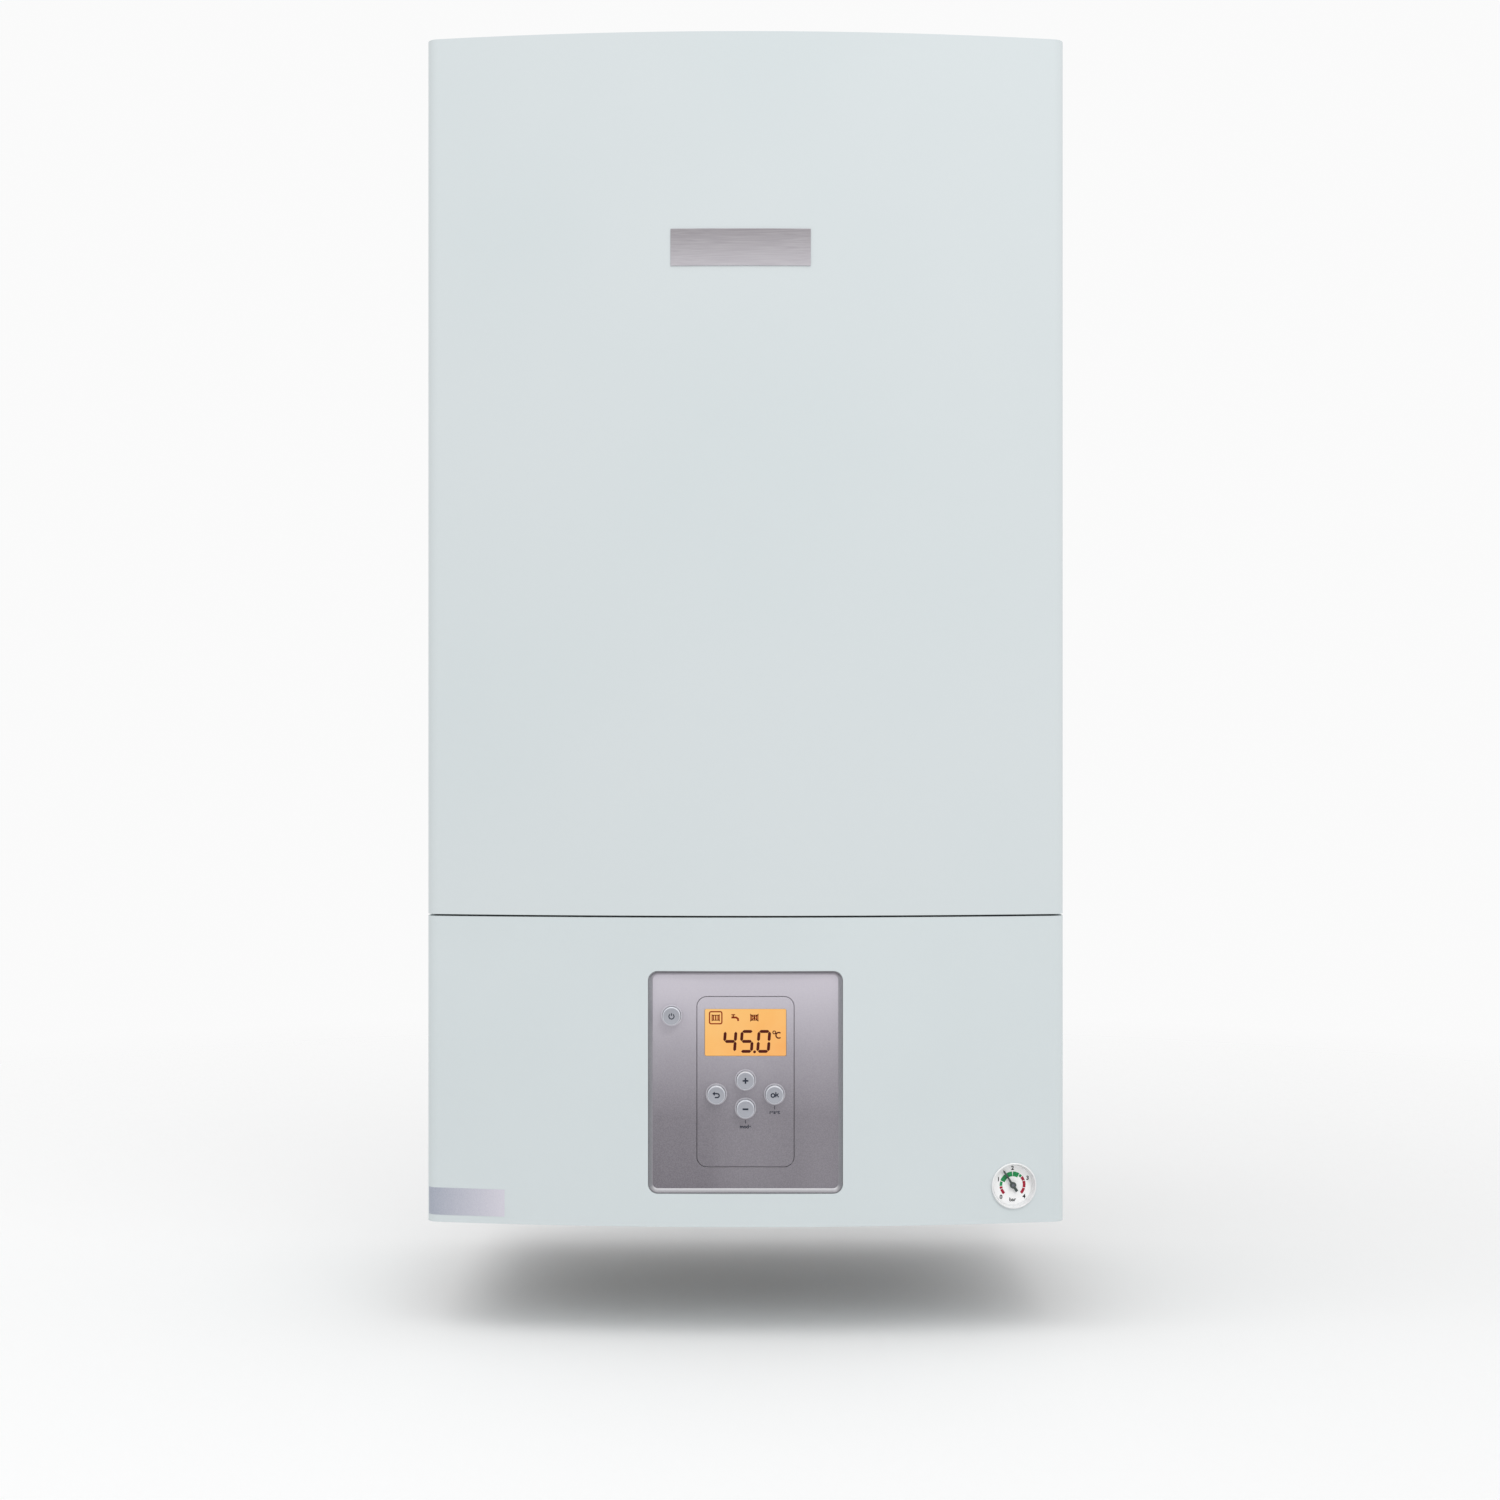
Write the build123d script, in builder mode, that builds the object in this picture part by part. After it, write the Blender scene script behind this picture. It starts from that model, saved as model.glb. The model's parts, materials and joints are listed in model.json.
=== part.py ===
from build123d import *
import os
from math import asin, atan2, cos, degrees, radians, sin, sqrt

# A wall-hung condensing combi boiler, taken apart into the pieces it is assembled from.
# Frame: millimetres, Z up, X to the right as seen from the front, the front faces -Y.
# The origin lies in the wall plane, midway between the two hanging holes of the back frame.

os.makedirs("parts", exist_ok=True)

# ---------------------------------------------------------------- driving dimensions
# Casing
casing_width = 400
casing_height = 742
casing_depth = 300  # from the wall to the crown of the bowed front
top_above_hanger = 45  # top of the casing above the hanging holes
front_bow = 18  # rise of the front's crown over its two side edges
edge_radius = 8  # rolled vertical edges of the front
seam_height = 192.5  # joint between the cover and the console, above the bottom
seam_gap = 1.2
cover_sheet = 1.2
cover_flange = 16  # returns at the cover's top and lower edges
wall_gap = 3  # the cover and the skirts stop short of the wall
console_wall = 2.5
skirt_depth = 224  # from the wall to the joint between the skirts and the console's cheeks

# Sheet-metal frame
frame_sheet = 1.5
frame_inset = 6  # the back frame stands in from the casing's sides
frame_flange = 30
hanger_spacing = 350
fixing_hole = 9
tray_height = 62  # underside of the base tray above the casing's bottom

# Connections under the casing, in one row
connection_pitch = 65
connection_wall_distance = 112
stub_recess = 10  # the stubs end this far above the casing's bottom
heating_thread = 26.4
water_thread = 20.96

# Concentric flue
flue_wall_distance = 140
exhaust_socket_bore = 61
air_socket_bore = 101
air_socket_depth = 30
exhaust_socket_depth = 35
flue_duct_diameter = 62

# Control unit, centred in the console
unit_width = 121
unit_height = 138.3
unit_rise = 89.6  # its centre above the casing's bottom
unit_corner = 6
insert_width = 60
insert_height = 105.5
display_width = 51
display_height = 29.5
display_rise = 120.2
button_cap = 11.1
button_collar = 13.3
button_travel = 1.2
pad_rise = 82  # centre of the four-way button group
pad_step_x = 18.1
pad_step_z = 8.8
power_x = -45.9
power_rise = 130.9

# Pressure gauge at the lower right corner
gauge_diameter = 28.8
gauge_x = 167.9
gauge_rise = 23.3
gauge_full_scale = 4
gauge_sweep = 270
gauge_reading = 1.5

# Console hinge
hinge_rise = 8  # pin axis above the casing's bottom
hinge_pin_diameter = 6
hinge_eye = 12

# Cover screws, bead pattern of the back frame
cover_screw_rise = 215  # above the casing's bottom
cover_screw_shank = 5
cover_screw_head = 10
bead_length = 300
bead_width = 16
bead_count = 3
bead_pitch = 90

# Small stubs and passages through the tray
small_stub = 15
trap_spigot = 21.5
gland_thread = 16

# Clearances
running = 0.05  # radial, pin in its eye
loose = 0.3  # between curved or moving faces
trim_gap = 0.5  # visible joint round the display insert

# ---------------------------------------------------------------- levels and places
half_width = casing_width / 2
top_z = top_above_hanger
bottom_z = top_z - casing_height
seam_z = bottom_z + seam_height
cover_low_z = seam_z + seam_gap / 2
console_top_z = seam_z - seam_gap / 2
tray_z = bottom_z + tray_height
bow_radius = (half_width**2 + front_bow**2) / (2 * front_bow)
bow_centre_y = bow_radius - casing_depth
cheek_back_y = -skirt_depth
skirt_front_y = cheek_back_y + seam_gap
hinge_y = cheek_back_y + seam_gap / 2
hinge_z = bottom_z + hinge_rise
top_plate_z = top_z - cover_sheet - loose
frame_half = half_width - frame_inset
connection_y = -connection_wall_distance
stub_end_z = bottom_z + stub_recess
flue_y = -flue_wall_distance
screw_y = -45
cover_screw_z = bottom_z + cover_screw_rise
bracket_front_y = screw_y - 8
screw_reach = half_width - frame_half + frame_sheet + 3
bead_levels = [seam_z - 10 - step * bead_pitch / 2 for step in range(bead_count)]
stubs = [
    (-2 * connection_pitch, heating_thread),
    (-connection_pitch, water_thread),
    (0, heating_thread),
    (connection_pitch, water_thread),
    (2 * connection_pitch, heating_thread),
]
drain_x = -1.5 * connection_pitch
block_front_y = -135
drain_y = block_front_y - 16
tap_x = 1.5 * connection_pitch
trap_x = -110
trap_y = -186
gland_x = half_width - 30
gland_y = block_front_y - 16
vessel_port_x = -130


def front_y(x, inset=0):
    """Front surface of the casing at x, drawn in by inset."""
    return bow_centre_y - sqrt((bow_radius - inset) ** 2 - x**2)


def casing_plan(inset, back_y):
    """Plan of the casing drawn in by inset: a bowed front, straight sides, rounded front corners."""
    half = half_width - inset
    corner_y = front_y(half, inset)
    with BuildSketch() as plan:
        with BuildLine():
            ThreePointArc((-half, corner_y), (0, inset - casing_depth), (half, corner_y))
            Polyline((half, corner_y), (half, back_y), (-half, back_y), (-half, corner_y))
        make_face()
        fillet(plan.vertices().group_by(Axis.Y)[0], max(edge_radius - inset, 0.8))
    return plan.sketch


def casing_block(inset, back_y, low, high):
    """The casing's plan as a block between two levels."""
    with BuildPart() as block:
        with BuildSketch(Plane.XY.offset(low)):
            add(casing_plan(inset, back_y))
        extrude(amount=high - low)
    return block.part


def bar(x, y, z):
    """A plain block given by its limits along X, Y and Z."""
    with BuildPart(mode=Mode.PRIVATE) as block:
        with Locations(((x[0] + x[1]) / 2, (y[0] + y[1]) / 2, (z[0] + z[1]) / 2)):
            Box(abs(x[1] - x[0]), abs(y[1] - y[0]), abs(z[1] - z[0]))
    return block.part


def pipe(points, diameter, bend):
    """A round pipe along straight runs joined by bends of one radius."""
    with BuildPart(mode=Mode.PRIVATE) as tube:
        with BuildLine() as route:
            FilletPolyline(*points, radius=bend)
        with BuildSketch(Plane(origin=route.line @ 0, z_dir=route.line % 0)):
            Circle(diameter / 2)
        sweep()
    return tube.part


def save(builder, name):
    """Label the finished piece and write it as a STEP file."""
    builder.part.label = name
    export_step(builder.part, "parts/" + name + ".step")


# ---------------------------------------------------------------- casing cover
# A pressed steel cover, open at the back and underneath. Its upper flange lies over the
# top plate, and its lower edge is returned inwards along the front and the sides.
with BuildPart() as front_cover:
    add(casing_block(0, -wall_gap, cover_low_z, top_z))
    add(
        casing_block(cover_sheet, 0, cover_low_z + cover_sheet, top_z - cover_sheet),
        mode=Mode.SUBTRACT,
    )
    add(casing_block(cover_sheet + cover_flange, 0, cover_low_z - 1, top_z + 1), mode=Mode.SUBTRACT)
    # the lower return stops in front of the back frame's flanges
    inner_half = half_width - cover_sheet
    add(
        bar((-inner_half, inner_half), (-frame_flange - 15, 0), (cover_low_z - 1, top_z - cover_sheet)),
        mode=Mode.SUBTRACT,
    )
    # holes for the two screws low on the side walls
    with Locations(Location((0, screw_y, cover_screw_z), (0, 90, 0))):
        Cylinder(cover_screw_shank / 2 + running, casing_width + 2, mode=Mode.SUBTRACT)
save(front_cover, "front_cover")

# Shouldered screws that stay in the cover and drop behind the side brackets of the frame.
with BuildPart() as cover_screws:
    for side in (-1, 1):
        with BuildSketch(Plane((side * half_width, screw_y, cover_screw_z), z_dir=(side, 0, 0))):
            Circle(cover_screw_head / 2)
        extrude(amount=1.6)
        with BuildSketch(Plane((side * half_width, screw_y, cover_screw_z), z_dir=(-side, 0, 0))):
            Circle(cover_screw_shank / 2)
        extrude(amount=screw_reach)
save(cover_screws, "cover_screws")

# ---------------------------------------------------------------- sheet-metal frame
# The back frame hangs on the wall: a galvanised sheet with folded side flanges, pressed
# beads across it, two hanging holes above and two fixing holes below.
frame_low_z = bottom_z + 6
frame_high_z = top_plate_z - frame_sheet
fixing_low_z = bottom_z + 33
bead_depth = 2
with BuildPart() as back_frame:
    add(bar((-frame_half, frame_half), (-frame_sheet, 0), (frame_low_z, frame_high_z)))
    for side in (-1, 1):
        edge_x = (side * frame_half, side * (frame_half - frame_sheet))
        add(bar(edge_x, (-frame_flange, 0), (tray_z + frame_sheet, frame_high_z)))
    with BuildSketch(Plane.XZ.offset(frame_sheet)):
        with Locations(*[(0, z) for z in bead_levels]):
            SlotOverall(bead_length, bead_width)
    extrude(amount=bead_depth, taper=30)
    with BuildSketch(Plane.XZ):
        with Locations(*[(0, z) for z in bead_levels]):
            SlotOverall(bead_length - 2 * frame_sheet, bead_width - 2 * frame_sheet)
    extrude(amount=bead_depth, taper=30, mode=Mode.SUBTRACT)
    with BuildSketch(Plane.XZ):
        with Locations((-hanger_spacing / 2, 0), (hanger_spacing / 2, 0)):
            Circle(fixing_hole / 2)
        with Locations((-hanger_spacing / 2, fixing_low_z), (hanger_spacing / 2, fixing_low_z)):
            Circle(fixing_hole / 2)
    extrude(amount=frame_sheet, mode=Mode.SUBTRACT)
    # brackets that catch the cover's screws, slotted open towards the front
    for side in (-1, 1):
        reach_x = (side * (frame_half - frame_sheet), side * frame_half)
        add(bar(reach_x, (bracket_front_y, -frame_flange), (cover_screw_z - 14, cover_screw_z + 14)))
    slot_half = cover_screw_shank / 2 + loose
    slot_y = (bracket_front_y - 1, screw_y + slot_half)
    add(
        bar((-half_width, half_width), slot_y, (cover_screw_z - slot_half, cover_screw_z + slot_half)),
        mode=Mode.SUBTRACT,
    )
save(back_frame, "back_frame")

# The top plate closes the casing under the cover's flange and carries the flue collar.
plate_inset = cover_sheet + 0.8
plate_lip = 15
collar_wall = 1.8
with BuildPart() as top_plate:
    add(casing_block(plate_inset, 0, top_plate_z - plate_lip, top_plate_z))
    add(
        casing_block(plate_inset + frame_sheet, 1, top_plate_z - plate_lip - 1, frame_high_z),
        mode=Mode.SUBTRACT,
    )
    with Locations((0, flue_y, top_plate_z)):
        Hole(air_socket_bore / 2 + collar_wall + loose)
save(top_plate, "top_plate")

# Fixed side skirts beside the console, returned inwards at the top and the bottom.
skirt_inner = half_width - cover_sheet
skirt_return = 12
for side, name in ((-1, "skirt_left"), (1, "skirt_right")):
    with BuildPart() as skirt:
        outer_x = (side * skirt_inner, side * half_width)
        return_x = (side * skirt_inner, side * (skirt_inner - skirt_return))
        side_y = (skirt_front_y, -wall_gap)
        add(bar(outer_x, side_y, (bottom_z, console_top_z)))
        top_return_y = (skirt_front_y, -frame_flange - 15)
        add(bar(return_x, top_return_y, (console_top_z - cover_sheet, console_top_z)))
        low_return_y = (skirt_front_y + 20, -wall_gap)
        add(bar(return_x, low_return_y, (bottom_z, bottom_z + cover_sheet)))
    save(skirt, name)

# The base tray carries the water section and lets the pipe stubs out underneath.
tray_front_y = skirt_front_y + frame_sheet
tray_top_z = tray_z + frame_sheet
pin_clear = 1.5  # round each pipe where it passes the tray
with BuildPart() as base_tray:
    add(bar((-skirt_inner, skirt_inner), (tray_front_y, -frame_sheet), (tray_z, tray_top_z)))
    for side in (-1, 1):
        upturn_x = (side * skirt_inner, side * (skirt_inner - frame_sheet))
        add(bar(upturn_x, (tray_front_y, -frame_sheet), (tray_z, tray_z + 20)))
    rear_x = frame_half - 2 * frame_sheet
    add(bar((-rear_x, rear_x), (-2 * frame_sheet, -frame_sheet), (tray_z, tray_z + 20)))
    add(bar((-rear_x, rear_x), (tray_front_y, tray_front_y + frame_sheet), (tray_z, tray_z + 10)))
    with BuildSketch(Plane.XY.offset(tray_z)):
        for x, diameter in stubs:
            with Locations((x, connection_y)):
                Circle(diameter / 2 + pin_clear)
        with Locations((drain_x, drain_y), (tap_x, connection_y)):
            Circle(small_stub / 2 + pin_clear)
        with Locations((trap_x, trap_y)):
            Circle(trap_spigot / 2 + pin_clear)
        with Locations((gland_x, gland_y)):
            Circle(gland_thread / 2 + loose)
    extrude(amount=frame_sheet, mode=Mode.SUBTRACT)
save(base_tray, "base_tray")

# A U-shaped rail under the skirts' upper returns, which the console is clipped to.
rail_high_z = console_top_z - cover_sheet
rail_depth = 12
rail_front_y = 38 - casing_depth
rail_back_y = rail_front_y + 14
rail_arm_length = 100
rail_arm_width = 12
arm_x = half_width - console_wall - 1.5
with BuildPart() as cross_rail:
    add(bar((-arm_x, arm_x), (rail_front_y, rail_back_y), (rail_high_z - frame_sheet, rail_high_z)))
    rail_web_y = (rail_front_y, rail_front_y + frame_sheet)
    add(bar((-arm_x, arm_x), rail_web_y, (rail_high_z - rail_depth, rail_high_z)))
    for side in (-1, 1):
        arm_width = (side * arm_x, side * (arm_x - rail_arm_width))
        arm_web = (side * arm_x, side * (arm_x - frame_sheet))
        arm_y = (rail_front_y, rail_back_y + rail_arm_length)
        add(bar(arm_width, arm_y, (rail_high_z - frame_sheet, rail_high_z)))
        add(bar(arm_web, arm_y, (rail_high_z - rail_depth, rail_high_z)))
save(cross_rail, "cross_rail")

# ---------------------------------------------------------------- flue
# The collar takes a concentric flue: an outer cup for the air pipe and, lower down, a
# socket for the exhaust pipe. Slots in the floor between them let the air into the casing.
collar_rim_z = top_plate_z + loose + cover_sheet - 0.2
cup_floor_z = collar_rim_z - air_socket_depth
floor_sheet = 2.5
socket_radius = exhaust_socket_bore / 2
socket_low_z = cup_floor_z - exhaust_socket_depth
duct_radius = flue_duct_diameter / 2
duct_overlap = 20
flange_width = 14
cup_radius = air_socket_bore / 2
cup_outer = cup_radius + collar_wall
socket_outer = duct_radius + loose + collar_wall
with BuildPart() as flue_collar:
    with BuildSketch(Plane.XY.offset(top_plate_z)):
        with Locations((0, flue_y)):
            Circle(cup_outer + flange_width)
            Circle(cup_radius, mode=Mode.SUBTRACT)
    extrude(amount=collar_rim_z - top_plate_z)
    with BuildSketch(Plane.XY.offset(cup_floor_z - floor_sheet)):
        with Locations((0, flue_y)):
            Circle(cup_outer)
    extrude(amount=collar_rim_z - cup_floor_z + floor_sheet)
    with BuildSketch(Plane.XY.offset(socket_low_z - duct_overlap)):
        with Locations((0, flue_y)):
            Circle(socket_outer)
    extrude(amount=cup_floor_z - socket_low_z + duct_overlap - 1)
    with BuildSketch(Plane.XY.offset(collar_rim_z)):
        with Locations((0, flue_y)):
            Circle(cup_radius)
    extrude(amount=cup_floor_z - collar_rim_z, mode=Mode.SUBTRACT)
    with BuildSketch(Plane.XY.offset(cup_floor_z)):
        with Locations((0, flue_y)):
            Circle(socket_radius)
    extrude(amount=socket_low_z - cup_floor_z, mode=Mode.SUBTRACT)
    with BuildSketch(Plane.XY.offset(socket_low_z)):
        with Locations((0, flue_y)):
            Circle(duct_radius + running)
    extrude(amount=-duct_overlap, mode=Mode.SUBTRACT)
    slot_radius = (cup_radius + socket_outer) / 2
    with BuildSketch(Plane.XY.offset(cup_floor_z)):
        with Locations((0, flue_y)):
            with PolarLocations(slot_radius, 8):
                RectangleRounded(10, 20, 4)
    extrude(amount=-floor_sheet, mode=Mode.SUBTRACT)
save(flue_collar, "flue_collar")

# Straight duct from the condensate sump up to the collar. The levels run down from the
# collar's floor: hood, heat cell, sump.
hood_height = 42
hood_clearance = 4
heat_height = 270
sump_height = 45
heat_high_z = cup_floor_z - floor_sheet - hood_clearance - hood_height
heat_low_z = heat_high_z - heat_height
sump_low_z = heat_low_z - sump_height
duct_wall = 1.2
bead_swell = 2.5
with BuildPart() as flue_duct:
    with BuildSketch(Plane.XY.offset(heat_low_z)):
        with Locations((0, flue_y)):
            Circle(duct_radius)
            Circle(duct_radius - duct_wall, mode=Mode.SUBTRACT)
    extrude(amount=socket_low_z - heat_low_z - loose)
    # swaged bead that stops the duct on the sump
    with BuildSketch(Plane.XZ.offset(flue_wall_distance)):
        with Locations((duct_radius - 0.5, heat_low_z + 6)):
            RegularPolygon(bead_swell, 6, major_radius=False)
    revolve(axis=Axis((0, flue_y, 0), (0, 0, 1)))
save(flue_duct, "flue_duct")

# ---------------------------------------------------------------- expansion vessel
# A flat rectangular vessel hangs behind everything: two pressed shells clamped at a rim.
vessel_width = 320
vessel_height = 400
vessel_back_y = -6
vessel_thickness = 70
vessel_drop = 65  # below the casing's top
vessel_mid_z = top_z - vessel_drop - vessel_height / 2
vessel_corner = 40
vessel_rim = 7
vessel_port_radius = 9
vessel_port_length = 14
filling_inset = 45  # the gas filling valve, in from the vessel's upper left corner
filling_x = filling_inset - vessel_width / 2
filling_z = vessel_mid_z + vessel_height / 2 - filling_inset
half_shell = vessel_thickness / 2
vessel_front_y = vessel_back_y - vessel_thickness
with BuildPart() as expansion_vessel:
    with BuildSketch(Plane.XZ.offset(-vessel_back_y)):
        with Locations((0, vessel_mid_z)):
            RectangleRounded(vessel_width - 2 * vessel_rim, vessel_height - 2 * vessel_rim, vessel_corner)
    extrude(amount=vessel_thickness)
    fillet(edges().filter_by(Plane.XZ), 14)
    with BuildSketch(Plane.XZ.offset(half_shell - vessel_back_y - 3)):
        with Locations((0, vessel_mid_z)):
            RectangleRounded(vessel_width, vessel_height, vessel_corner + vessel_rim)
    extrude(amount=6)
    # water connection below and gas valve above
    vessel_low_z = vessel_mid_z - vessel_height / 2
    with BuildSketch(Plane.XY.offset(vessel_low_z + 2)):
        with Locations((vessel_port_x, vessel_back_y - half_shell)):
            Circle(vessel_port_radius)
    extrude(amount=-2 - vessel_port_length)
    with BuildSketch(Plane.XZ.offset(vessel_thickness - vessel_back_y)):
        with Locations((filling_x, filling_z)):
            Circle(6)
    extrude(amount=7)
save(expansion_vessel, "expansion_vessel")

# Two hat-section straps hold the vessel's back off the frame.
strap_half = 150
strap_foot = 18
strap_sheet = 2
strap_half_width = 12
strap_inset = 90  # from the vessel's ends to the straps
strap_spread = vessel_height / 2 - strap_inset
with BuildPart() as vessel_brackets:
    for level in (vessel_mid_z - strap_spread, vessel_mid_z + strap_spread):
        strap_z = (level - strap_half_width, level + strap_half_width)
        add(bar((-strap_half, strap_half), (vessel_back_y, vessel_back_y + strap_sheet), strap_z))
        for side in (-1, 1):
            leg_x = side * (strap_half - strap_sheet)
            foot_x = side * (strap_half + strap_foot)
            add(bar((leg_x, side * strap_half), (vessel_back_y, -frame_sheet), strap_z))
            add(bar((leg_x, foot_x), (-frame_sheet - strap_sheet, -frame_sheet), strap_z))
save(vessel_brackets, "vessel_brackets")

# ---------------------------------------------------------------- heat cell and sump
# A cast aluminium heat exchanger with cooling ribs, flanged at both ends.
heat_x = -105
heat_width = 130
heat_depth = 140
heat_y = vessel_front_y - 4 - heat_depth / 2
heat_front_y = heat_y - heat_depth / 2
rib_count = 15
port_length = 12
port_diameter = 27
pipe_diameter = 18
flow_port = (heat_x - 45, heat_high_z - 32)
return_port = (heat_x + 35, heat_low_z + 20)
with BuildPart() as heat_cell:
    with BuildSketch(Plane.XY.offset(heat_low_z)):
        with Locations((heat_x, heat_y)):
            RectangleRounded(heat_width - 20, heat_depth - 20, 18)
    extrude(amount=heat_height)
    flange_levels = (heat_low_z, heat_high_z - 7)
    for level in flange_levels:
        with BuildSketch(Plane.XY.offset(level)):
            with Locations((heat_x, heat_y)):
                RectangleRounded(heat_width, heat_depth, 10)
        extrude(amount=7)
    rib_pitch = (heat_height - 60) / (rib_count - 1)
    for rib in range(rib_count):
        with BuildSketch(Plane.XY.offset(heat_low_z + 29 + rib * rib_pitch)):
            with Locations((heat_x, heat_y)):
                RectangleRounded(heat_width - 6, heat_depth - 6, 22)
        extrude(amount=2.5)
    for x, z in (flow_port, return_port):
        with BuildSketch(Plane.XZ.offset(-heat_y)):
            with Locations((x, z)):
                Circle(port_diameter / 2)
        extrude(amount=heat_depth / 2 + port_length)
save(heat_cell, "heat_cell")

# The sump collects the condensate and turns the flue gas from the cell up into the duct.
sump_right_x = duct_radius + 12
sump_left_x = heat_x - heat_width / 2
sump_middle = (sump_left_x + sump_right_x) / 2
sump_length = sump_right_x - sump_left_x
trap_radius = 26
with BuildPart() as sump:
    with BuildSketch(Plane.XY.offset(heat_low_z)):
        with Locations((sump_middle, heat_y)):
            RectangleRounded(sump_length, heat_depth, 12)
    with BuildSketch(Plane.XY.offset(sump_low_z)):
        with Locations((sump_middle, heat_y)):
            RectangleRounded(sump_length - 24, heat_depth - 20, 12)
    loft()
save(sump, "sump")

# Condensate trap under the sump, with its outlet spigot through the tray.
trap_high_z = sump_low_z
trap_length = 130
trap_low_z = trap_high_z - trap_length
spigot_low_z = stub_end_z + 4
with BuildPart() as condensate_trap:
    with BuildSketch(Plane.XZ.offset(-trap_y)):
        with BuildLine():
            Polyline(
                (trap_x, trap_high_z),
                (trap_x + trap_radius - 6, trap_high_z),
                (trap_x + trap_radius - 6, trap_high_z - 12),
                (trap_x + trap_radius, trap_high_z - 18),
                (trap_x + trap_radius, trap_low_z + 20),
                (trap_x + trap_spigot / 2, trap_low_z),
                (trap_x + trap_spigot / 2, spigot_low_z),
                (trap_x, spigot_low_z),
                close=True,
            )
        make_face()
    revolve(axis=Axis((trap_x, trap_y, 0), (0, 0, 1)))
    for level in (trap_high_z - 40, trap_low_z + 35):
        with BuildSketch(Plane.XY.offset(level)):
            with Locations((trap_x, trap_y)):
                Circle(trap_radius + 3)
        extrude(amount=8)
save(condensate_trap, "condensate_trap")

# ---------------------------------------------------------------- fan and burner hood
# A centrifugal fan: its wheel turns counter-clockwise in a scroll that widens towards the
# outlet at the top left, where the hood's arm takes the mixture round the flue duct.
fan_x = 112
fan_wall = 3
impeller_radius = 50
tongue_radius = 57  # outside of the scroll where it starts, just under the outlet
scroll_radius = 72  # and where it ends, above the shaft
outlet_reach = 62  # the scroll's mouth, to the left of the shaft
neck_length = 6
hood_low_z = heat_high_z
hood_z = (hood_low_z, hood_low_z + hood_height)
arm_z = (hood_low_z + 6, hood_low_z + hood_height)
arm_depth = 36
arm_back_y = flue_y - socket_outer - 4
hood_arm = (arm_back_y, arm_back_y - arm_depth)
fan_z = arm_z[1] - scroll_radius
outlet_x = fan_x - outlet_reach
outlet_low = arm_z[0] - fan_z
fan_margin = 4  # the scroll is this much deeper than the arm, to the front and to the back
fan_depth = arm_depth + 2 * fan_margin
fan_back_y = arm_back_y + fan_margin
fan_front_y = fan_back_y - fan_depth
duct_y = (hood_arm[0] - fan_wall, hood_arm[1] + fan_wall)
duct_z = (arm_z[0] + fan_wall, arm_z[1] - fan_wall)
shaft_radius = 3
inlet_radius = 20
seam_rim = 4
scroll_steps = 8


def scroll(inset):
    """The fan's scroll seen from the front, about the shaft, drawn in by inset."""
    small = tongue_radius - inset
    large = scroll_radius - inset
    low = outlet_low + inset
    mouth = inset - outlet_reach
    start = 180 - degrees(asin(low / small))
    spiral = []
    for step in range(scroll_steps + 1):
        share = step / scroll_steps
        radius = small + (large - small) * share
        angle = radians(start + (450 - start) * share)
        spiral.append((radius * cos(angle), radius * sin(angle)))
    leaving = (-sin(radians(start)), cos(radians(start)))
    with BuildSketch() as outline:
        with BuildLine():
            Spline(*spiral, tangents=(leaving, (-1, 0)))
            Polyline(spiral[-1], (mouth, large), (mouth, low), spiral[0])
        make_face()
    return outline.sketch


with BuildPart() as fan_housing:
    with BuildSketch(Plane.XZ.offset(-fan_back_y)):
        with Locations((fan_x, fan_z)):
            add(scroll(0))
    extrude(amount=fan_depth)
    # screwed seam round the middle of the scroll, and the neck at its mouth
    with BuildSketch(Plane.XZ.offset(fan_depth / 2 - 2 - fan_back_y)):
        with Locations((fan_x, fan_z)):
            add(scroll(-seam_rim))
    extrude(amount=4)
    add(bar((outlet_x - neck_length, outlet_x + 1), hood_arm, arm_z))
    with BuildSketch(Plane.XZ.offset(fan_wall - fan_back_y)):
        with Locations((fan_x, fan_z)):
            add(scroll(fan_wall))
    extrude(amount=fan_depth - 2 * fan_wall, mode=Mode.SUBTRACT)
    neck_x = (outlet_x - neck_length - 1, outlet_x + fan_wall + 1)
    add(bar(neck_x, duct_y, duct_z), mode=Mode.SUBTRACT)
    with BuildSketch(Plane.XZ.offset(-fan_front_y)):
        with Locations((fan_x, fan_z)):
            Circle(inlet_radius)
    extrude(amount=-fan_wall - 1, mode=Mode.SUBTRACT)
    with BuildSketch(Plane.XZ.offset(-fan_back_y)):
        with Locations((fan_x, fan_z)):
            Circle(shaft_radius + 1)
    extrude(amount=fan_wall, mode=Mode.SUBTRACT)
save(fan_housing, "fan_housing")

# The wheel: a back plate with a hub, curved blades that lag outwards, and a shroud ring.
blade_count = 18
blade_sheet = 1.6
blade_start = 24
blade_end = impeller_radius - 0.5
blade_lag = 48  # degrees, from the inner end to the tip
wheel_depth = 30
plate_sheet = 2
shroud_sheet = 1.5
hub_radius = 9
hub_length = 24
impeller_back_y = fan_back_y - fan_wall - 4


def blade_face(lead):
    """Three points on a blade's face seen from the front, set round by a width along its circle."""
    points = []
    for share in (0, 0.5, 1):
        radius = blade_start + (blade_end - blade_start) * share
        angle = lead / radius - radians(blade_lag) * share
        points.append((radius * cos(angle), radius * sin(angle)))
    return points


def blade():
    """One backward-curved blade seen from the front, about the shaft."""
    with BuildSketch() as profile:
        with BuildLine():
            rear = blade_face(0)
            front = blade_face(blade_sheet)
            ThreePointArc(*rear)
            ThreePointArc(*front)
            Line(rear[0], front[0])
            Line(rear[-1], front[-1])
        make_face()
    return profile.sketch


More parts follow.
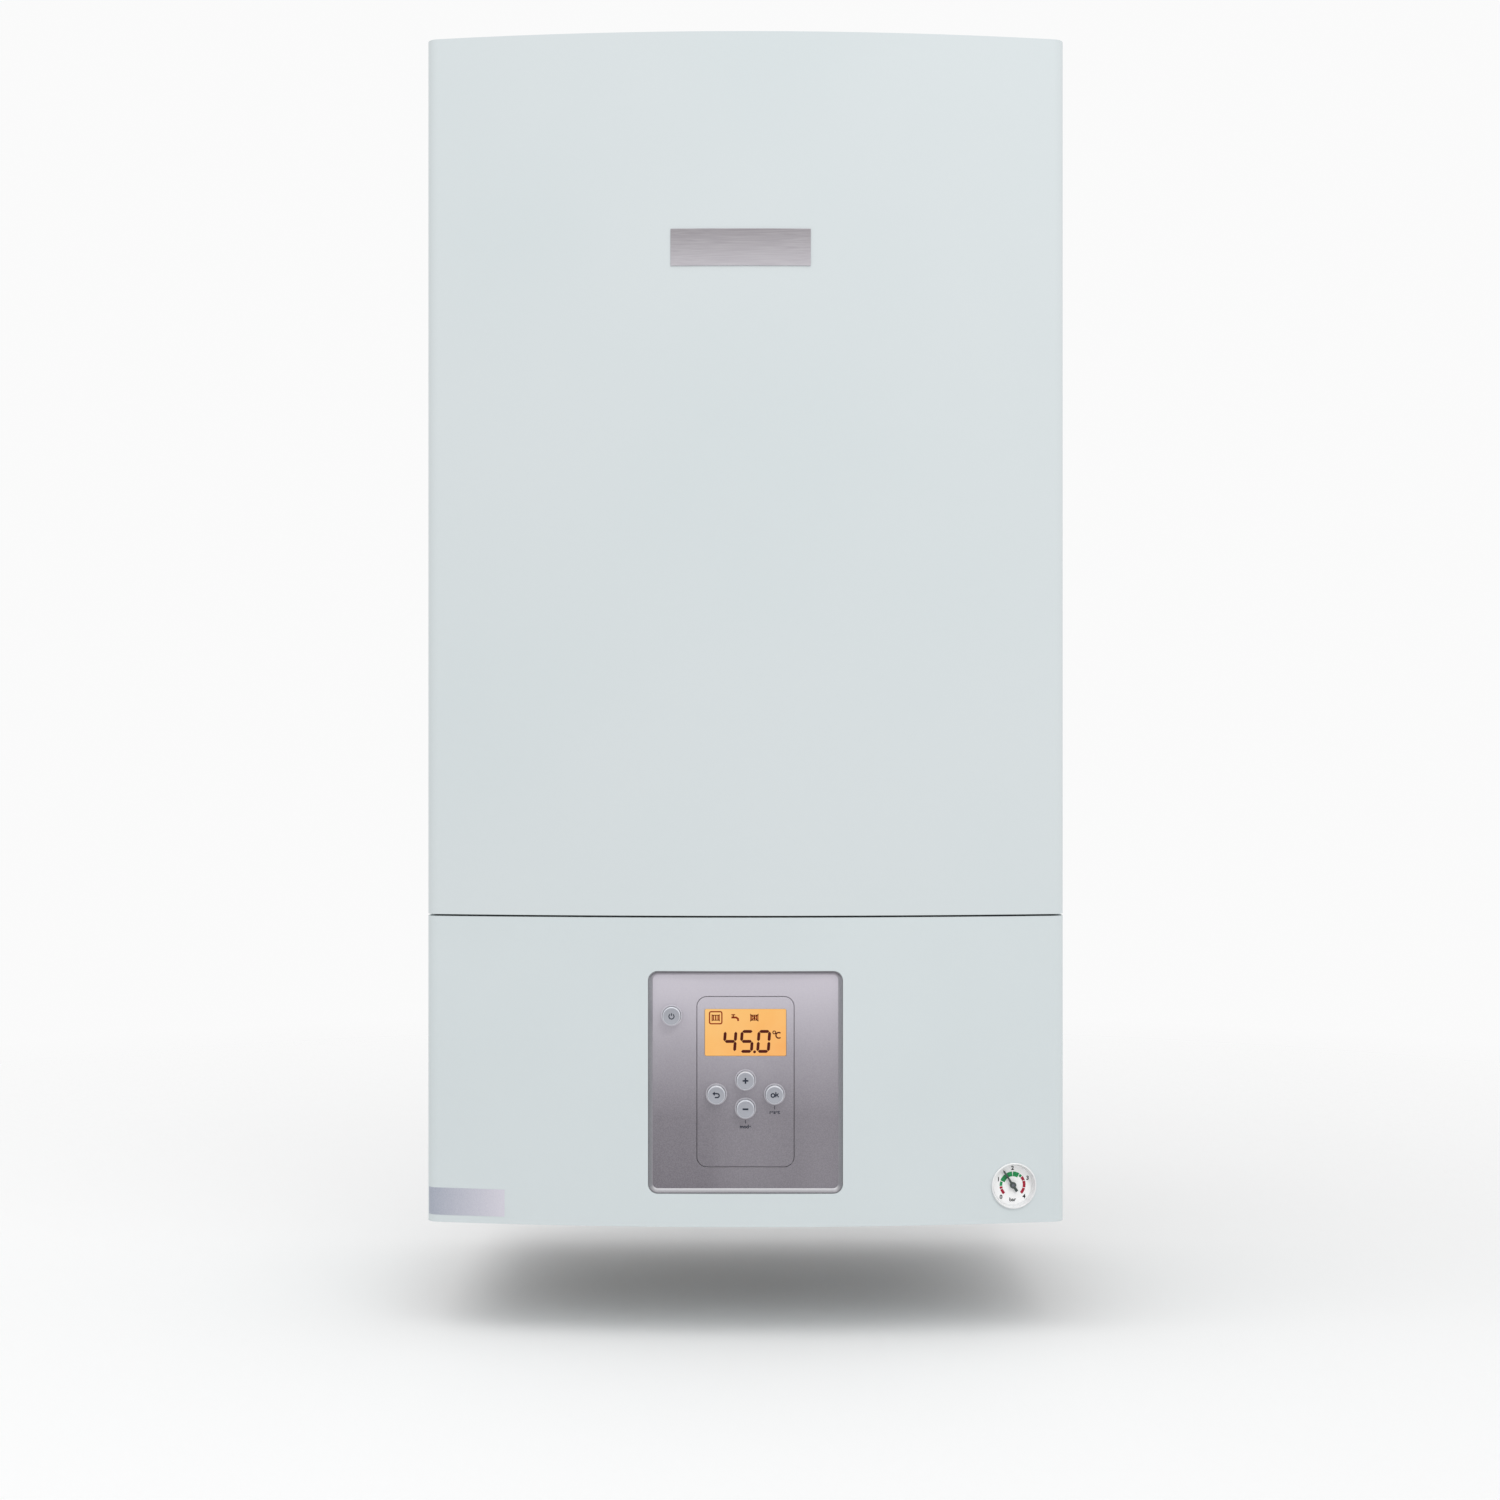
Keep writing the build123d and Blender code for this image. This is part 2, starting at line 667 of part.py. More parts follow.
with BuildPart() as fan_impeller:
    with BuildSketch(Plane.XZ.offset(-impeller_back_y)):
        with Locations((fan_x, fan_z)):
            Circle(impeller_radius)
    extrude(amount=plate_sheet)
    with BuildSketch(Plane.XZ.offset(-impeller_back_y)):
        with Locations((fan_x, fan_z)):
            Circle(hub_radius)
    extrude(amount=hub_length)
    with BuildSketch(Plane.XZ.offset(-impeller_back_y)):
        with Locations((fan_x, fan_z)):
            with PolarLocations(0, blade_count):
                add(blade())
    extrude(amount=wheel_depth)
    with BuildSketch(Plane.XZ.offset(wheel_depth - shroud_sheet - impeller_back_y)):
        with Locations((fan_x, fan_z)):
            Circle(impeller_radius)
            Circle(blade_start + 2, mode=Mode.SUBTRACT)
    extrude(amount=shroud_sheet)
    with BuildSketch(Plane.XZ.offset(-impeller_back_y)):
        with Locations((fan_x, fan_z)):
            Circle(shaft_radius + running)
    extrude(amount=hub_length, mode=Mode.SUBTRACT)
save(fan_impeller, "fan_impeller")

# The fan's motor behind the scroll, with its plug socket on top.
fan_motor_radius = 32
fan_motor_length = 42
shaft_length = fan_wall + 4 + hub_length - 2
with BuildPart() as fan_motor:
    with BuildSketch(Plane.XZ.offset(-fan_back_y)):
        with Locations((fan_x, fan_z)):
            Circle(fan_motor_radius)
    extrude(amount=-fan_motor_length)
    chamfer(edges().sort_by(Axis.Y)[-1], 4)
    with BuildSketch(Plane.XZ.offset(-fan_back_y)):
        with Locations((fan_x, fan_z)):
            Circle(shaft_radius)
    extrude(amount=shaft_length)
    socket_y = (fan_back_y + 12, fan_back_y + 34)
    add(bar((fan_x - 14, fan_x + 14), socket_y, (fan_z + 28, fan_z + fan_motor_radius + 10)))
save(fan_motor, "fan_motor")

# The hood over the cell, with an arm round the flue collar to the fan's outlet.
heat_right_x = heat_x + heat_width / 2
boss_height = 18
with BuildPart() as burner_hood:
    add(bar((sump_left_x, heat_right_x), (heat_front_y, heat_y + heat_depth / 2), hood_z))
    fillet(edges().filter_by(Axis.Z), 10)
    fillet(faces().sort_by(Axis.Z)[-1].edges(), 5)
    add(bar((heat_right_x - 12, outlet_x - neck_length), hood_arm, arm_z))
    add(bar((heat_right_x - 1, outlet_x - neck_length + 1), duct_y, duct_z), mode=Mode.SUBTRACT)
    # flange bolts' bosses
    with BuildSketch(Plane.XY.offset(hood_low_z)):
        with Locations((heat_x, heat_y)):
            with GridLocations(heat_width - 20, heat_depth - 20, 2, 2):
                Circle(8)
    extrude(amount=boss_height)
save(burner_hood, "burner_hood")

# Spark and flame-sensing electrodes through the hood's front.
electrode_z = hood_low_z + 20
with BuildPart() as electrodes:
    for x in (heat_x - 30, heat_x - 8):
        with BuildSketch(Plane.XZ.offset(-heat_front_y)):
            with Locations((x, electrode_z)):
                Circle(6)
        extrude(amount=3)
        with BuildSketch(Plane.XZ.offset(-heat_front_y + 3)):
            with Locations((x, electrode_z)):
                Circle(4)
        extrude(amount=22)
        with BuildSketch(Plane.XZ.offset(-heat_front_y + 25)):
            with Locations((x, electrode_z)):
                Circle(1.5)
        extrude(amount=8)
save(electrodes, "electrodes")

# Venturi on the fan's inlet: gas comes in from below, air from the side.
venturi_length = 30
venturi_flange = 4
throat_radius = 23
intake_radius = 13
intake_wall = 2.5
intake_reach = 62
gas_x = fan_x
gas_y = fan_front_y - venturi_length / 2 + 1
valve_drop = 85  # from the shaft down to the gas valve
valve_high_z = fan_z - valve_drop
valve_height = 90
valve_low_z = valve_high_z - valve_height
gas_pipe_diameter = 16
with BuildPart() as venturi:
    with BuildSketch(Plane.XZ.offset(-fan_front_y)):
        with Locations((fan_x, fan_z)):
            Circle(throat_radius + 5)
    extrude(amount=venturi_flange)
    with BuildSketch(Plane.XZ.offset(-fan_front_y + venturi_flange)):
        with Locations((fan_x, fan_z)):
            Circle(throat_radius)
    extrude(amount=venturi_length - venturi_flange)
    fillet(edges().sort_by(Axis.Y)[0], 6)
    with BuildSketch(Plane.XY.offset(fan_z)):
        with Locations((gas_x, gas_y)):
            Circle(gas_pipe_diameter / 2 + 1)
    extrude(amount=valve_high_z - fan_z)
    # the air intake turned to the right, open at its end
    with BuildSketch(Plane.YZ.offset(fan_x)):
        with Locations((gas_y - 1, fan_z)):
            Circle(intake_radius)
    extrude(amount=intake_reach)
    with BuildSketch(Plane.YZ.offset(fan_x + intake_reach)):
        with Locations((gas_y - 1, fan_z)):
            Circle(intake_radius - intake_wall)
    extrude(amount=12 - intake_reach, mode=Mode.SUBTRACT)
save(venturi, "venturi")

valve_half = 22
coil_radius = 15
coil_length = 26
with BuildPart() as gas_valve:
    valve_y = (gas_y - valve_half, gas_y + valve_half + 2)
    add(bar((gas_x - valve_half, gas_x + valve_half), valve_y, (valve_low_z, valve_high_z)))
    fillet(edges().filter_by(Axis.Y), 5)
    # two solenoid coils on the right, each with its nut, and the throughput screw in front
    for level in (valve_low_z + 24, valve_low_z + 62):
        with BuildSketch(Plane.YZ.offset(gas_x + valve_half)):
            with Locations((gas_y + 2, level)):
                Circle(coil_radius)
        extrude(amount=coil_length)
        with BuildSketch(Plane.YZ.offset(gas_x + valve_half + coil_length)):
            with Locations((gas_y + 2, level)):
                RegularPolygon(coil_radius / 3, 6)
        extrude(amount=4)
    with BuildSketch(Plane.XZ.offset(valve_half - gas_y)):
        with Locations((gas_x - 6, valve_low_z + valve_height / 3)):
            Circle(8)
    extrude(amount=4)
save(gas_valve, "gas_valve")

# ---------------------------------------------------------------- water section
# Two hydraulic blocks carry the plate heat exchanger between them, the pump above the
# right one and the diverter above the left one. Their stubs come out under the tray.
block_back_y = -36
block_low_z = tray_top_z + 17
block_high_z = block_low_z + 80
block_inner_x = 88
block_outer_x = 165
exchanger_front_y = -100
exchanger_low_z = block_low_z + 13
plate_count = 12
plate_pitch = 4.2
small_pipe = 16
branch_z = block_low_z + 12
flange_step = 4
flange_length = 44
flange_height = 22
plug_radius = 9
hexagon_height = 6
stub_wall = 3.5


def stub(x, diameter, top):
    """A round stub through the tray, open below, with a hexagon collar under the tray."""
    with BuildPart(mode=Mode.PRIVATE) as tail:
        with BuildSketch(Plane.XY.offset(stub_end_z)):
            with Locations((x, connection_y)):
                Circle(diameter / 2)
        extrude(amount=top - stub_end_z)
        with BuildSketch(Plane.XY.offset(tray_z - 2)):
            with Locations((x, connection_y)):
                RegularPolygon(diameter / 2 + 3, 6, major_radius=False)
        extrude(amount=-hexagon_height)
        with BuildSketch(Plane.XY.offset(stub_end_z)):
            with Locations((x, connection_y)):
                Circle(diameter / 2 - stub_wall)
        extrude(amount=14, mode=Mode.SUBTRACT)
    return tail.part


def hydraulic_block(side):
    """Brass block at one end of the plate exchanger, with its two stubs underneath."""
    middle_x = side * (block_inner_x + block_outer_x) / 2
    with BuildPart(mode=Mode.PRIVATE) as block:
        span = (side * block_inner_x, side * block_outer_x)
        add(bar(span, (block_front_y, block_back_y), (block_low_z, block_high_z)))
        chamfer(edges().filter_by(Axis.Z), 12)
        for level in (block_low_z + 16, block_high_z - 16):
            with BuildSketch(Plane.XZ.offset(-block_front_y)):
                with Locations((middle_x, level)):
                    RectangleRounded(flange_length, flange_height, 9)
            extrude(amount=flange_step)
            with BuildSketch(Plane.XZ.offset(flange_step - block_front_y)):
                with Locations((middle_x, level)):
                    RegularPolygon(plug_radius, 6)
            extrude(amount=hexagon_height)
        add(stub(side * 2 * connection_pitch, heating_thread, block_low_z + 2))
        # branch to the half-inch stub, in front of the exchanger
        add(stub(side * connection_pitch, water_thread, branch_z))
        with BuildSketch(Plane.YZ.offset(side * connection_pitch)):
            with Locations((connection_y, branch_z)):
                Circle(small_pipe / 2)
        extrude(amount=side * (block_inner_x - connection_pitch + 3))
        with Locations((side * connection_pitch, connection_y, branch_z)):
            Sphere(water_thread / 2)
    return block.part


with BuildPart() as left_hydroblock:
    add(hydraulic_block(-1))
save(left_hydroblock, "left_hydroblock")

with BuildPart() as right_hydroblock:
    add(hydraulic_block(1))
save(right_hydroblock, "right_hydroblock")

# Stainless plate heat exchanger: a stack of thin plates between two thicker end plates.
with BuildPart() as plate_heat_exchanger:
    middle_y = (exchanger_front_y + block_back_y) / 2
    plate_depth = block_back_y - exchanger_front_y
    for plate in range(plate_count):
        thick = 3 if plate in (0, plate_count - 1) else 2.4
        with BuildSketch(Plane.XY.offset(exchanger_low_z + plate * plate_pitch)):
            with Locations((0, middle_y)):
                RectangleRounded(2 * block_inner_x, plate_depth, 14)
        extrude(amount=thick)
    with BuildSketch(Plane.XY.offset(exchanger_low_z)):
        with Locations((0, middle_y)):
            RectangleRounded(2 * block_inner_x - 6, plate_depth - 6, 12)
    extrude(amount=(plate_count - 1) * plate_pitch)
save(plate_heat_exchanger, "plate_heat_exchanger")

# Circulating pump: a volute with its neck on the right block, the motor towards the front.
pump_x = 2 * connection_pitch - 2
volute_radius = 38
pump_z = block_high_z + volute_radius + 7
volute_back_y = -108
volute_depth = 46
suction_radius = 15
motor_radius = 34
motor_length = 62
motor_ribs = 16
terminal_box_y = (6, 44)  # from the motor's back towards its front
discharge_x = pump_x + 22
discharge_y = volute_back_y - volute_depth / 2
discharge_z = pump_z + volute_radius + 3
motor_back_y = volute_back_y - volute_depth
with BuildPart() as pump_body:
    with BuildSketch(Plane.XZ.offset(-volute_back_y)):
        with Locations((pump_x, pump_z)):
            Circle(volute_radius)
    extrude(amount=volute_depth)
    chamfer(edges().filter_by(GeomType.CIRCLE), 7)
    with BuildSketch(Plane.XY.offset(block_high_z)):
        with Locations((pump_x, discharge_y)):
            Circle(suction_radius)
    extrude(amount=20)
    with BuildSketch(Plane.XY.offset(pump_z)):
        with Locations((discharge_x, discharge_y)):
            Circle(suction_radius - 2)
    extrude(amount=discharge_z - pump_z)
save(pump_body, "pump_body")

with BuildPart() as pump_motor:
    with BuildSketch(Plane.XZ.offset(-motor_back_y)):
        with Locations((pump_x, pump_z)):
            Circle(motor_radius)
    extrude(amount=motor_length)
    fillet(edges().sort_by(Axis.Y)[0], 6)
    with BuildSketch(Plane.XZ.offset(-motor_back_y + 6)):
        with Locations((pump_x, pump_z)):
            with PolarLocations(motor_radius + 1, motor_ribs):
                Rectangle(5, 2.5)
    extrude(amount=motor_length - 22)
    terminal_x = (pump_x - motor_radius - 28, pump_x - motor_radius + 10)
    terminal_y = (motor_back_y - terminal_box_y[1], motor_back_y - terminal_box_y[0])
    add(bar(terminal_x, terminal_y, (pump_z - 22, pump_z + 22)))
save(pump_motor, "pump_motor")

# Three-way diverter drive on the left block.
diverter_x = -block_inner_x - 22
diverter_y = block_front_y + 26
diverter_neck = 10
diverter_width = 32
diverter_depth = 38
diverter_height = 42
with BuildPart() as diverter_motor:
    with BuildSketch(Plane.XY.offset(block_high_z)):
        with Locations((diverter_x, diverter_y)):
            Circle(13)
    extrude(amount=diverter_neck)
    with BuildSketch(Plane.XY.offset(block_high_z + diverter_neck)):
        with Locations((diverter_x, diverter_y)):
            RectangleRounded(diverter_width, diverter_depth, 5)
    extrude(amount=diverter_height)
    fillet(faces().sort_by(Axis.Z)[-1].edges(), 3)
save(diverter_motor, "diverter_motor")

# Safety valve on the left block, its drain straight down through the tray.
valve_z = block_low_z + 44
valve_body = 24
valve_neck = 3
valve_radius = 14
with BuildPart() as safety_valve:
    with BuildSketch(Plane.XZ.offset(-block_front_y)):
        with Locations((drain_x, valve_z)):
            Circle(valve_radius)
    extrude(amount=valve_body)
    with BuildSketch(Plane.XZ.offset(valve_body - block_front_y)):
        with Locations((drain_x, valve_z)):
            Circle(9)
    extrude(amount=valve_neck)
    with BuildSketch(Plane.XZ.offset(valve_body + valve_neck - block_front_y)):
        with Locations((drain_x, valve_z)):
            RegularPolygon(valve_radius + 1, 8)
    extrude(amount=10)
    with BuildSketch(Plane.XY.offset(spigot_low_z)):
        with Locations((drain_x, drain_y)):
            Circle(small_stub / 2)
    extrude(amount=valve_z - spigot_low_z)
    with BuildSketch(Plane.XY.offset(tray_z - 2)):
        with Locations((drain_x, drain_y)):
            RegularPolygon(small_stub / 2 + 2.5, 6, major_radius=False)
    extrude(amount=-hexagon_height)
save(safety_valve, "safety_valve")

# Filling tap under the right block: a fixed body and the knob turned by hand.
tap_body_radius = small_stub / 2
tap_low_z = tray_z - 16
spindle_radius = 3
spindle_length = 12
knob_radius = 11
knob_low_z = tap_low_z - 20
with BuildPart() as filling_tap:
    with BuildSketch(Plane.XY.offset(tap_low_z)):
        with Locations((tap_x, connection_y)):
            Circle(tap_body_radius)
    extrude(amount=block_low_z - tap_low_z)
    with BuildSketch(Plane.XY.offset(tap_low_z)):
        with Locations((tap_x, connection_y)):
            Circle(spindle_radius)
    extrude(amount=-spindle_length)
save(filling_tap, "filling_tap")

with BuildPart() as filling_knob:
    with BuildSketch(Plane.XY.offset(knob_low_z)):
        with Locations((tap_x, connection_y)):
            Circle(knob_radius)
            with PolarLocations(knob_radius + 1.4, 8):
                Circle(2.8, mode=Mode.SUBTRACT)
    extrude(amount=tap_low_z - loose - knob_low_z)
    with BuildSketch(Plane.XY.offset(tap_low_z)):
        with Locations((tap_x, connection_y)):
            Circle(spindle_radius + running)
    extrude(amount=-spindle_length - 0.5, mode=Mode.SUBTRACT)
save(filling_knob, "filling_knob")

# ---------------------------------------------------------------- pipes inside
flow_y = heat_front_y - port_length
pipe_bend = 14
pipe_front_y = flow_y - pipe_bend - 0.5
flow_x = flow_port[0]
flow_inlet_y = block_front_y + 36
crossing_z = sump_low_z - 30
with BuildPart() as flow_pipe:
    flow_route = [
        (flow_x, flow_y, flow_port[1]),
        (flow_x, pipe_front_y, flow_port[1]),
        (flow_x, pipe_front_y, crossing_z),
        (flow_x, flow_inlet_y, crossing_z - 45),
        (flow_x, flow_inlet_y, block_high_z),
    ]
    add(pipe(flow_route, pipe_diameter, pipe_bend))
    with BuildSketch(Plane.XY.offset(block_high_z)):
        with Locations((flow_x, flow_inlet_y)):
            RegularPolygon(pipe_diameter / 2 + 5, 6)
    extrude(amount=12)
save(flow_pipe, "flow_pipe")

return_x = return_port[0]
with BuildPart() as return_pipe:
    return_route = [
        (return_x, flow_y, return_port[1]),
        (return_x, pipe_front_y, return_port[1]),
        (return_x, pipe_front_y, crossing_z),
        (discharge_x, discharge_y, crossing_z - 10),
        (discharge_x, discharge_y, discharge_z),
    ]
    add(pipe(return_route, pipe_diameter, pipe_bend))
save(return_pipe, "return_pipe")

with BuildPart() as gas_pipe:
    gas_route = [
        (gas_x, gas_y, valve_low_z),
        (gas_x, gas_y, crossing_z + 40),
        (0, connection_y, crossing_z - 10),
        (0, connection_y, block_low_z - 4),
    ]
    add(pipe(gas_route, gas_pipe_diameter, gas_pipe_diameter))
    add(stub(0, heating_thread, block_low_z - 4))
save(gas_pipe, "gas_pipe")

# Flexible hose from the vessel to the left block.
hose_y = vessel_back_y - half_shell
hose_high_z = vessel_low_z - vessel_port_length
hose_nut = 12
with BuildPart() as vessel_hose:
    with BuildSketch(Plane.XY.offset(block_high_z)):
        with Locations((vessel_port_x, hose_y)):
            Circle(5)
    extrude(amount=hose_high_z - block_high_z)
    for level in (block_high_z, hose_high_z - hose_nut):
        with BuildSketch(Plane.XY.offset(level)):
            with Locations((vessel_port_x, hose_y)):
                RegularPolygon(vessel_port_radius, 6)
        extrude(amount=hose_nut)
save(vessel_hose, "vessel_hose")

# Automatic air vent on top of the right block, behind the pump.
vent_height = 40
vent_place = (pump_x - 22, block_back_y - 20)
with BuildPart() as air_vent:
    with BuildSketch(Plane.XY.offset(block_high_z)):
        with Locations(vent_place):
            Circle(12)
    extrude(amount=vent_height)
    chamfer(edges().sort_by(Axis.Z)[-1], 3)
    with BuildSketch(Plane.XY.offset(block_high_z + vent_height)):
        with Locations(vent_place):
            Circle(4)
    extrude(amount=6)
save(air_vent, "air_vent")

# Cable gland through the tray: a lock nut above, a longer clamping nut below.
gland_nut = gland_thread / 2 + 3
lock_nut_height = 5
clamp_nut_height = 14
with BuildPart() as cable_gland:
    with BuildSketch(Plane.XY.offset(tray_top_z)):
        with Locations((gland_x, gland_y)):
            RegularPolygon(gland_nut, 6)
    extrude(amount=lock_nut_height)
    with BuildSketch(Plane.XY.offset(tray_z)):
        with Locations((gland_x, gland_y)):
            Circle(gland_thread / 2)
    extrude(amount=frame_sheet)
    with BuildSketch(Plane.XY.offset(tray_z)):
        with Locations((gland_x, gland_y)):
            RegularPolygon(gland_nut, 6)
    extrude(amount=-clamp_nut_height)
    with BuildSketch(Plane.XY.offset(tray_z - clamp_nut_height)):
        with Locations((gland_x, gland_y)):
            Circle(gland_thread / 4)
    extrude(amount=clamp_nut_height + frame_sheet + lock_nut_height, mode=Mode.SUBTRACT)
save(cable_gland, "cable_gland")

# ---------------------------------------------------------------- console
# The moulded lower panel: bowed front, two side cheeks, a bottom panel and an upper return.
# It folds down on two pins and snaps to the cross rail with two tongues.
console_inner = half_width - console_wall
return_back_y = rail_front_y - 6
panel_back_y = cheek_back_y - 16
unit_z = bottom_z + unit_rise
fascia_half = unit_width / 2 - loose
hinge_pin_radius = hinge_pin_diameter / 2
eye_radius = hinge_eye / 2
lug_sheet = 6
lug_outer_x = half_width - 6
lug_inner_x = lug_outer_x - lug_sheet
rib_places = [side * casing_width * share for side in (-1, 1) for share in (0.25, 0.34)]
rib_height = 4
rib_sheet = 1.5
tongue_x = 120
tongue_width = 16
tongue_sheet = 1.5
tongue_z = console_top_z - console_wall - 6
tongue_back_y = rail_front_y - 3.5
gauge_z = bottom_z + gauge_rise
gauge_angle = asin(gauge_x / bow_radius)
gauge_plane = Plane(
    origin=(gauge_x, front_y(gauge_x), gauge_z),
    x_dir=(cos(gauge_angle), sin(gauge_angle), 0),
    z_dir=(sin(gauge_angle), -cos(gauge_angle), 0),
)
gauge_radius = gauge_diameter / 2
barrel_radius = gauge_radius - 0.85

with BuildPart() as console:
    add(casing_block(0, cheek_back_y, bottom_z, console_top_z))
    add(
        casing_block(
            console_wall, cheek_back_y + 1, bottom_z + console_wall, console_top_z - console_wall
        ),
        mode=Mode.SUBTRACT,
    )
    inner_x = (-console_inner, console_inner)
    top_cut_z = (console_top_z - console_wall - 1, console_top_z + 1)
    add(bar(inner_x, (return_back_y, cheek_back_y + 1), top_cut_z), mode=Mode.SUBTRACT)
    bottom_cut_z = (bottom_z - 1, bottom_z + console_wall + 1)
    add(bar(inner_x, (panel_back_y, cheek_back_y + 1), bottom_cut_z), mode=Mode.SUBTRACT)
    # relief behind the hinge, so that the cheeks clear the skirts as the console folds
    relief = hinge_rise + 1
    relief_y = (cheek_back_y - relief, cheek_back_y + 1)
    wide_x = (-half_width - 1, half_width + 1)
    add(bar(wide_x, relief_y, (bottom_z - 1, hinge_z)), mode=Mode.SUBTRACT)
    # stiffening ribs behind the bowed front, either side of the control box
    for x in rib_places:
        wall_y = front_y(x, console_wall)
        rib_y = (wall_y - console_wall / 2, wall_y + rib_height)
        add(bar((x - rib_sheet / 2, x + rib_sheet / 2), rib_y, (bottom_z + 1, console_top_z - 1)))
    # opening for the control unit
    with BuildSketch(Plane.XZ.offset(casing_depth + 1)):
        with Locations((0, unit_z)):
            RectangleRounded(unit_width, unit_height, unit_corner)
    extrude(amount=-20, mode=Mode.SUBTRACT)
    # hole for the gauge's barrel, square to the bowed face
    with BuildSketch(gauge_plane.offset(2)):
        Circle(barrel_radius + loose)
    extrude(amount=-8, mode=Mode.SUBTRACT)
    # hinge lugs: an eye, and an arm forward to a block on the cheek
    for side in (-1, 1):
        with BuildSketch(Plane.YZ.offset(side * lug_inner_x)):
            with Locations((hinge_y, hinge_z)):
                Circle(eye_radius)
            with Locations((hinge_y - 16, hinge_z)):
                Rectangle(32, hinge_eye)
        extrude(amount=side * lug_sheet)
        block_y = (panel_back_y - 8, panel_back_y)
        block_z = (bottom_z + console_wall / 2, hinge_z + eye_radius)
        add(bar((side * lug_inner_x, side * (console_inner + 1)), block_y, block_z))
        with BuildSketch(Plane.YZ.offset(side * (lug_inner_x - 1))):
            with Locations((hinge_y, hinge_z)):
                Circle(hinge_pin_radius + running)
        extrude(amount=side * (lug_sheet + 3), mode=Mode.SUBTRACT)
        # tongue for the snap clip, on a short post under the upper return
        post_x = (side * tongue_x - tongue_width / 2, side * tongue_x + tongue_width / 2)
        post_y = (return_back_y - 6, return_back_y - 3)
        add(bar(post_x, post_y, (tongue_z, console_top_z - 1)))
        add(bar(post_x, (return_back_y - 6, tongue_back_y), (tongue_z, tongue_z + tongue_sheet)))
save(console, "console")

# Spring clips on the rail, open towards the front, that grip the console's tongues.
clip_sheet = 0.7
clip_mouth = 5
clip_reach = 6.5
clip_middle_z = tongue_z + tongue_sheet / 2
with BuildPart() as console_clips:
    for side in (-1, 1):
        clip_x = (side * tongue_x - tongue_width / 2, side * tongue_x + tongue_width / 2)
        half_mouth = clip_mouth / 2
        outer_z = (clip_middle_z - half_mouth - clip_sheet, clip_middle_z + half_mouth + clip_sheet)
        clip_y = (rail_front_y - clip_reach, rail_front_y)
        add(bar(clip_x, clip_y, outer_z))
    mouth_z = (clip_middle_z - half_mouth, clip_middle_z + half_mouth)
    mouth_y = (rail_front_y - clip_reach - 1, rail_front_y - clip_sheet)
    add(bar((-half_width, half_width), mouth_y, mouth_z), mode=Mode.SUBTRACT)
save(console_clips, "console_clips")

# Brackets under the tray and the two pins that the console folds on.
bracket_inner_x = lug_inner_x - 5
bracket_sheet = 3
with BuildPart() as hinge_brackets:
    for side in (-1, 1):
        with BuildSketch(Plane.YZ.offset(side * bracket_inner_x)):
            with Locations((hinge_y, hinge_z)):
                Circle(eye_radius)
            with Locations((tray_front_y + 10, tray_z - 1)):
                Rectangle(20, 2)
            make_hull()
            with Locations((hinge_y, hinge_z)):
                Circle(hinge_pin_radius + running, mode=Mode.SUBTRACT)
        extrude(amount=side * bracket_sheet)
        foot_x = (side * (bracket_inner_x - 12), side * (bracket_inner_x + bracket_sheet))
        add(bar(foot_x, (tray_front_y, tray_front_y + 20), (tray_z - 2, tray_z)))
save(hinge_brackets, "hinge_brackets")

with BuildPart() as hinge_pins:
    for side in (-1, 1):
        with BuildSketch(Plane.YZ.offset(side * bracket_inner_x)):
            with Locations((hinge_y, hinge_z)):
                Circle(hinge_pin_radius + 1.5)
        extrude(amount=-side * 2)
        with BuildSketch(Plane.YZ.offset(side * bracket_inner_x)):
            with Locations((hinge_y, hinge_z)):
                Circle(hinge_pin_radius)
        extrude(amount=side * (lug_outer_x + 1 - bracket_inner_x))
save(hinge_pins, "hinge_pins")

# ---------------------------------------------------------------- control unit
# The fascia drops into the console's opening. A sloping rim leads down to its field.
flange_margin = 5
rim_width = 2.5
rim_land = 0.4  # flat crest round the slope
rim_depth = 2.6
fascia_sheet = 2
fascia_flange_y = front_y(unit_width / 2 + flange_margin, console_wall) + 0.25
fascia_back_y = fascia_flange_y + fascia_sheet
rim_y = front_y(unit_width / 2) + 0.4
field_y = rim_y + rim_depth
insert_back_y = fascia_back_y + 1.5
stem_back_y = insert_back_y + 1.5
switch_y = stem_back_y + button_travel + 0.2
board_y = switch_y + 0.9
button_places = {
    "plus_button": (0, pad_rise + pad_step_z),
    "minus_button": (0, pad_rise - pad_step_z),
    "back_button": (-pad_step_x, pad_rise),
    "ok_button": (pad_step_x, pad_rise),
    "power_button": (power_x, power_rise),
}
insert_buttons = [
    (x, bottom_z + rise) for name, (x, rise) in button_places.items() if name != "power_button"
]
power_place = (button_places["power_button"][0], bottom_z + button_places["power_button"][1])
all_buttons = insert_buttons + [power_place]
cap_radius = button_cap / 2
collar_radius = button_collar / 2
collar_height = 1.2
cap_height = 5.5
cap_round = 0.8
dish_radius = 22
dish_depth = 0.5
catch_sheet = 1  # flange behind the guide that keeps the button in
display_z = bottom_z + display_rise


def slab(y_front, y_back):
    """Sketch plane for an outline seen from the front, and the length back from it."""
    return Plane.XZ.offset(-y_front), y_front - y_back


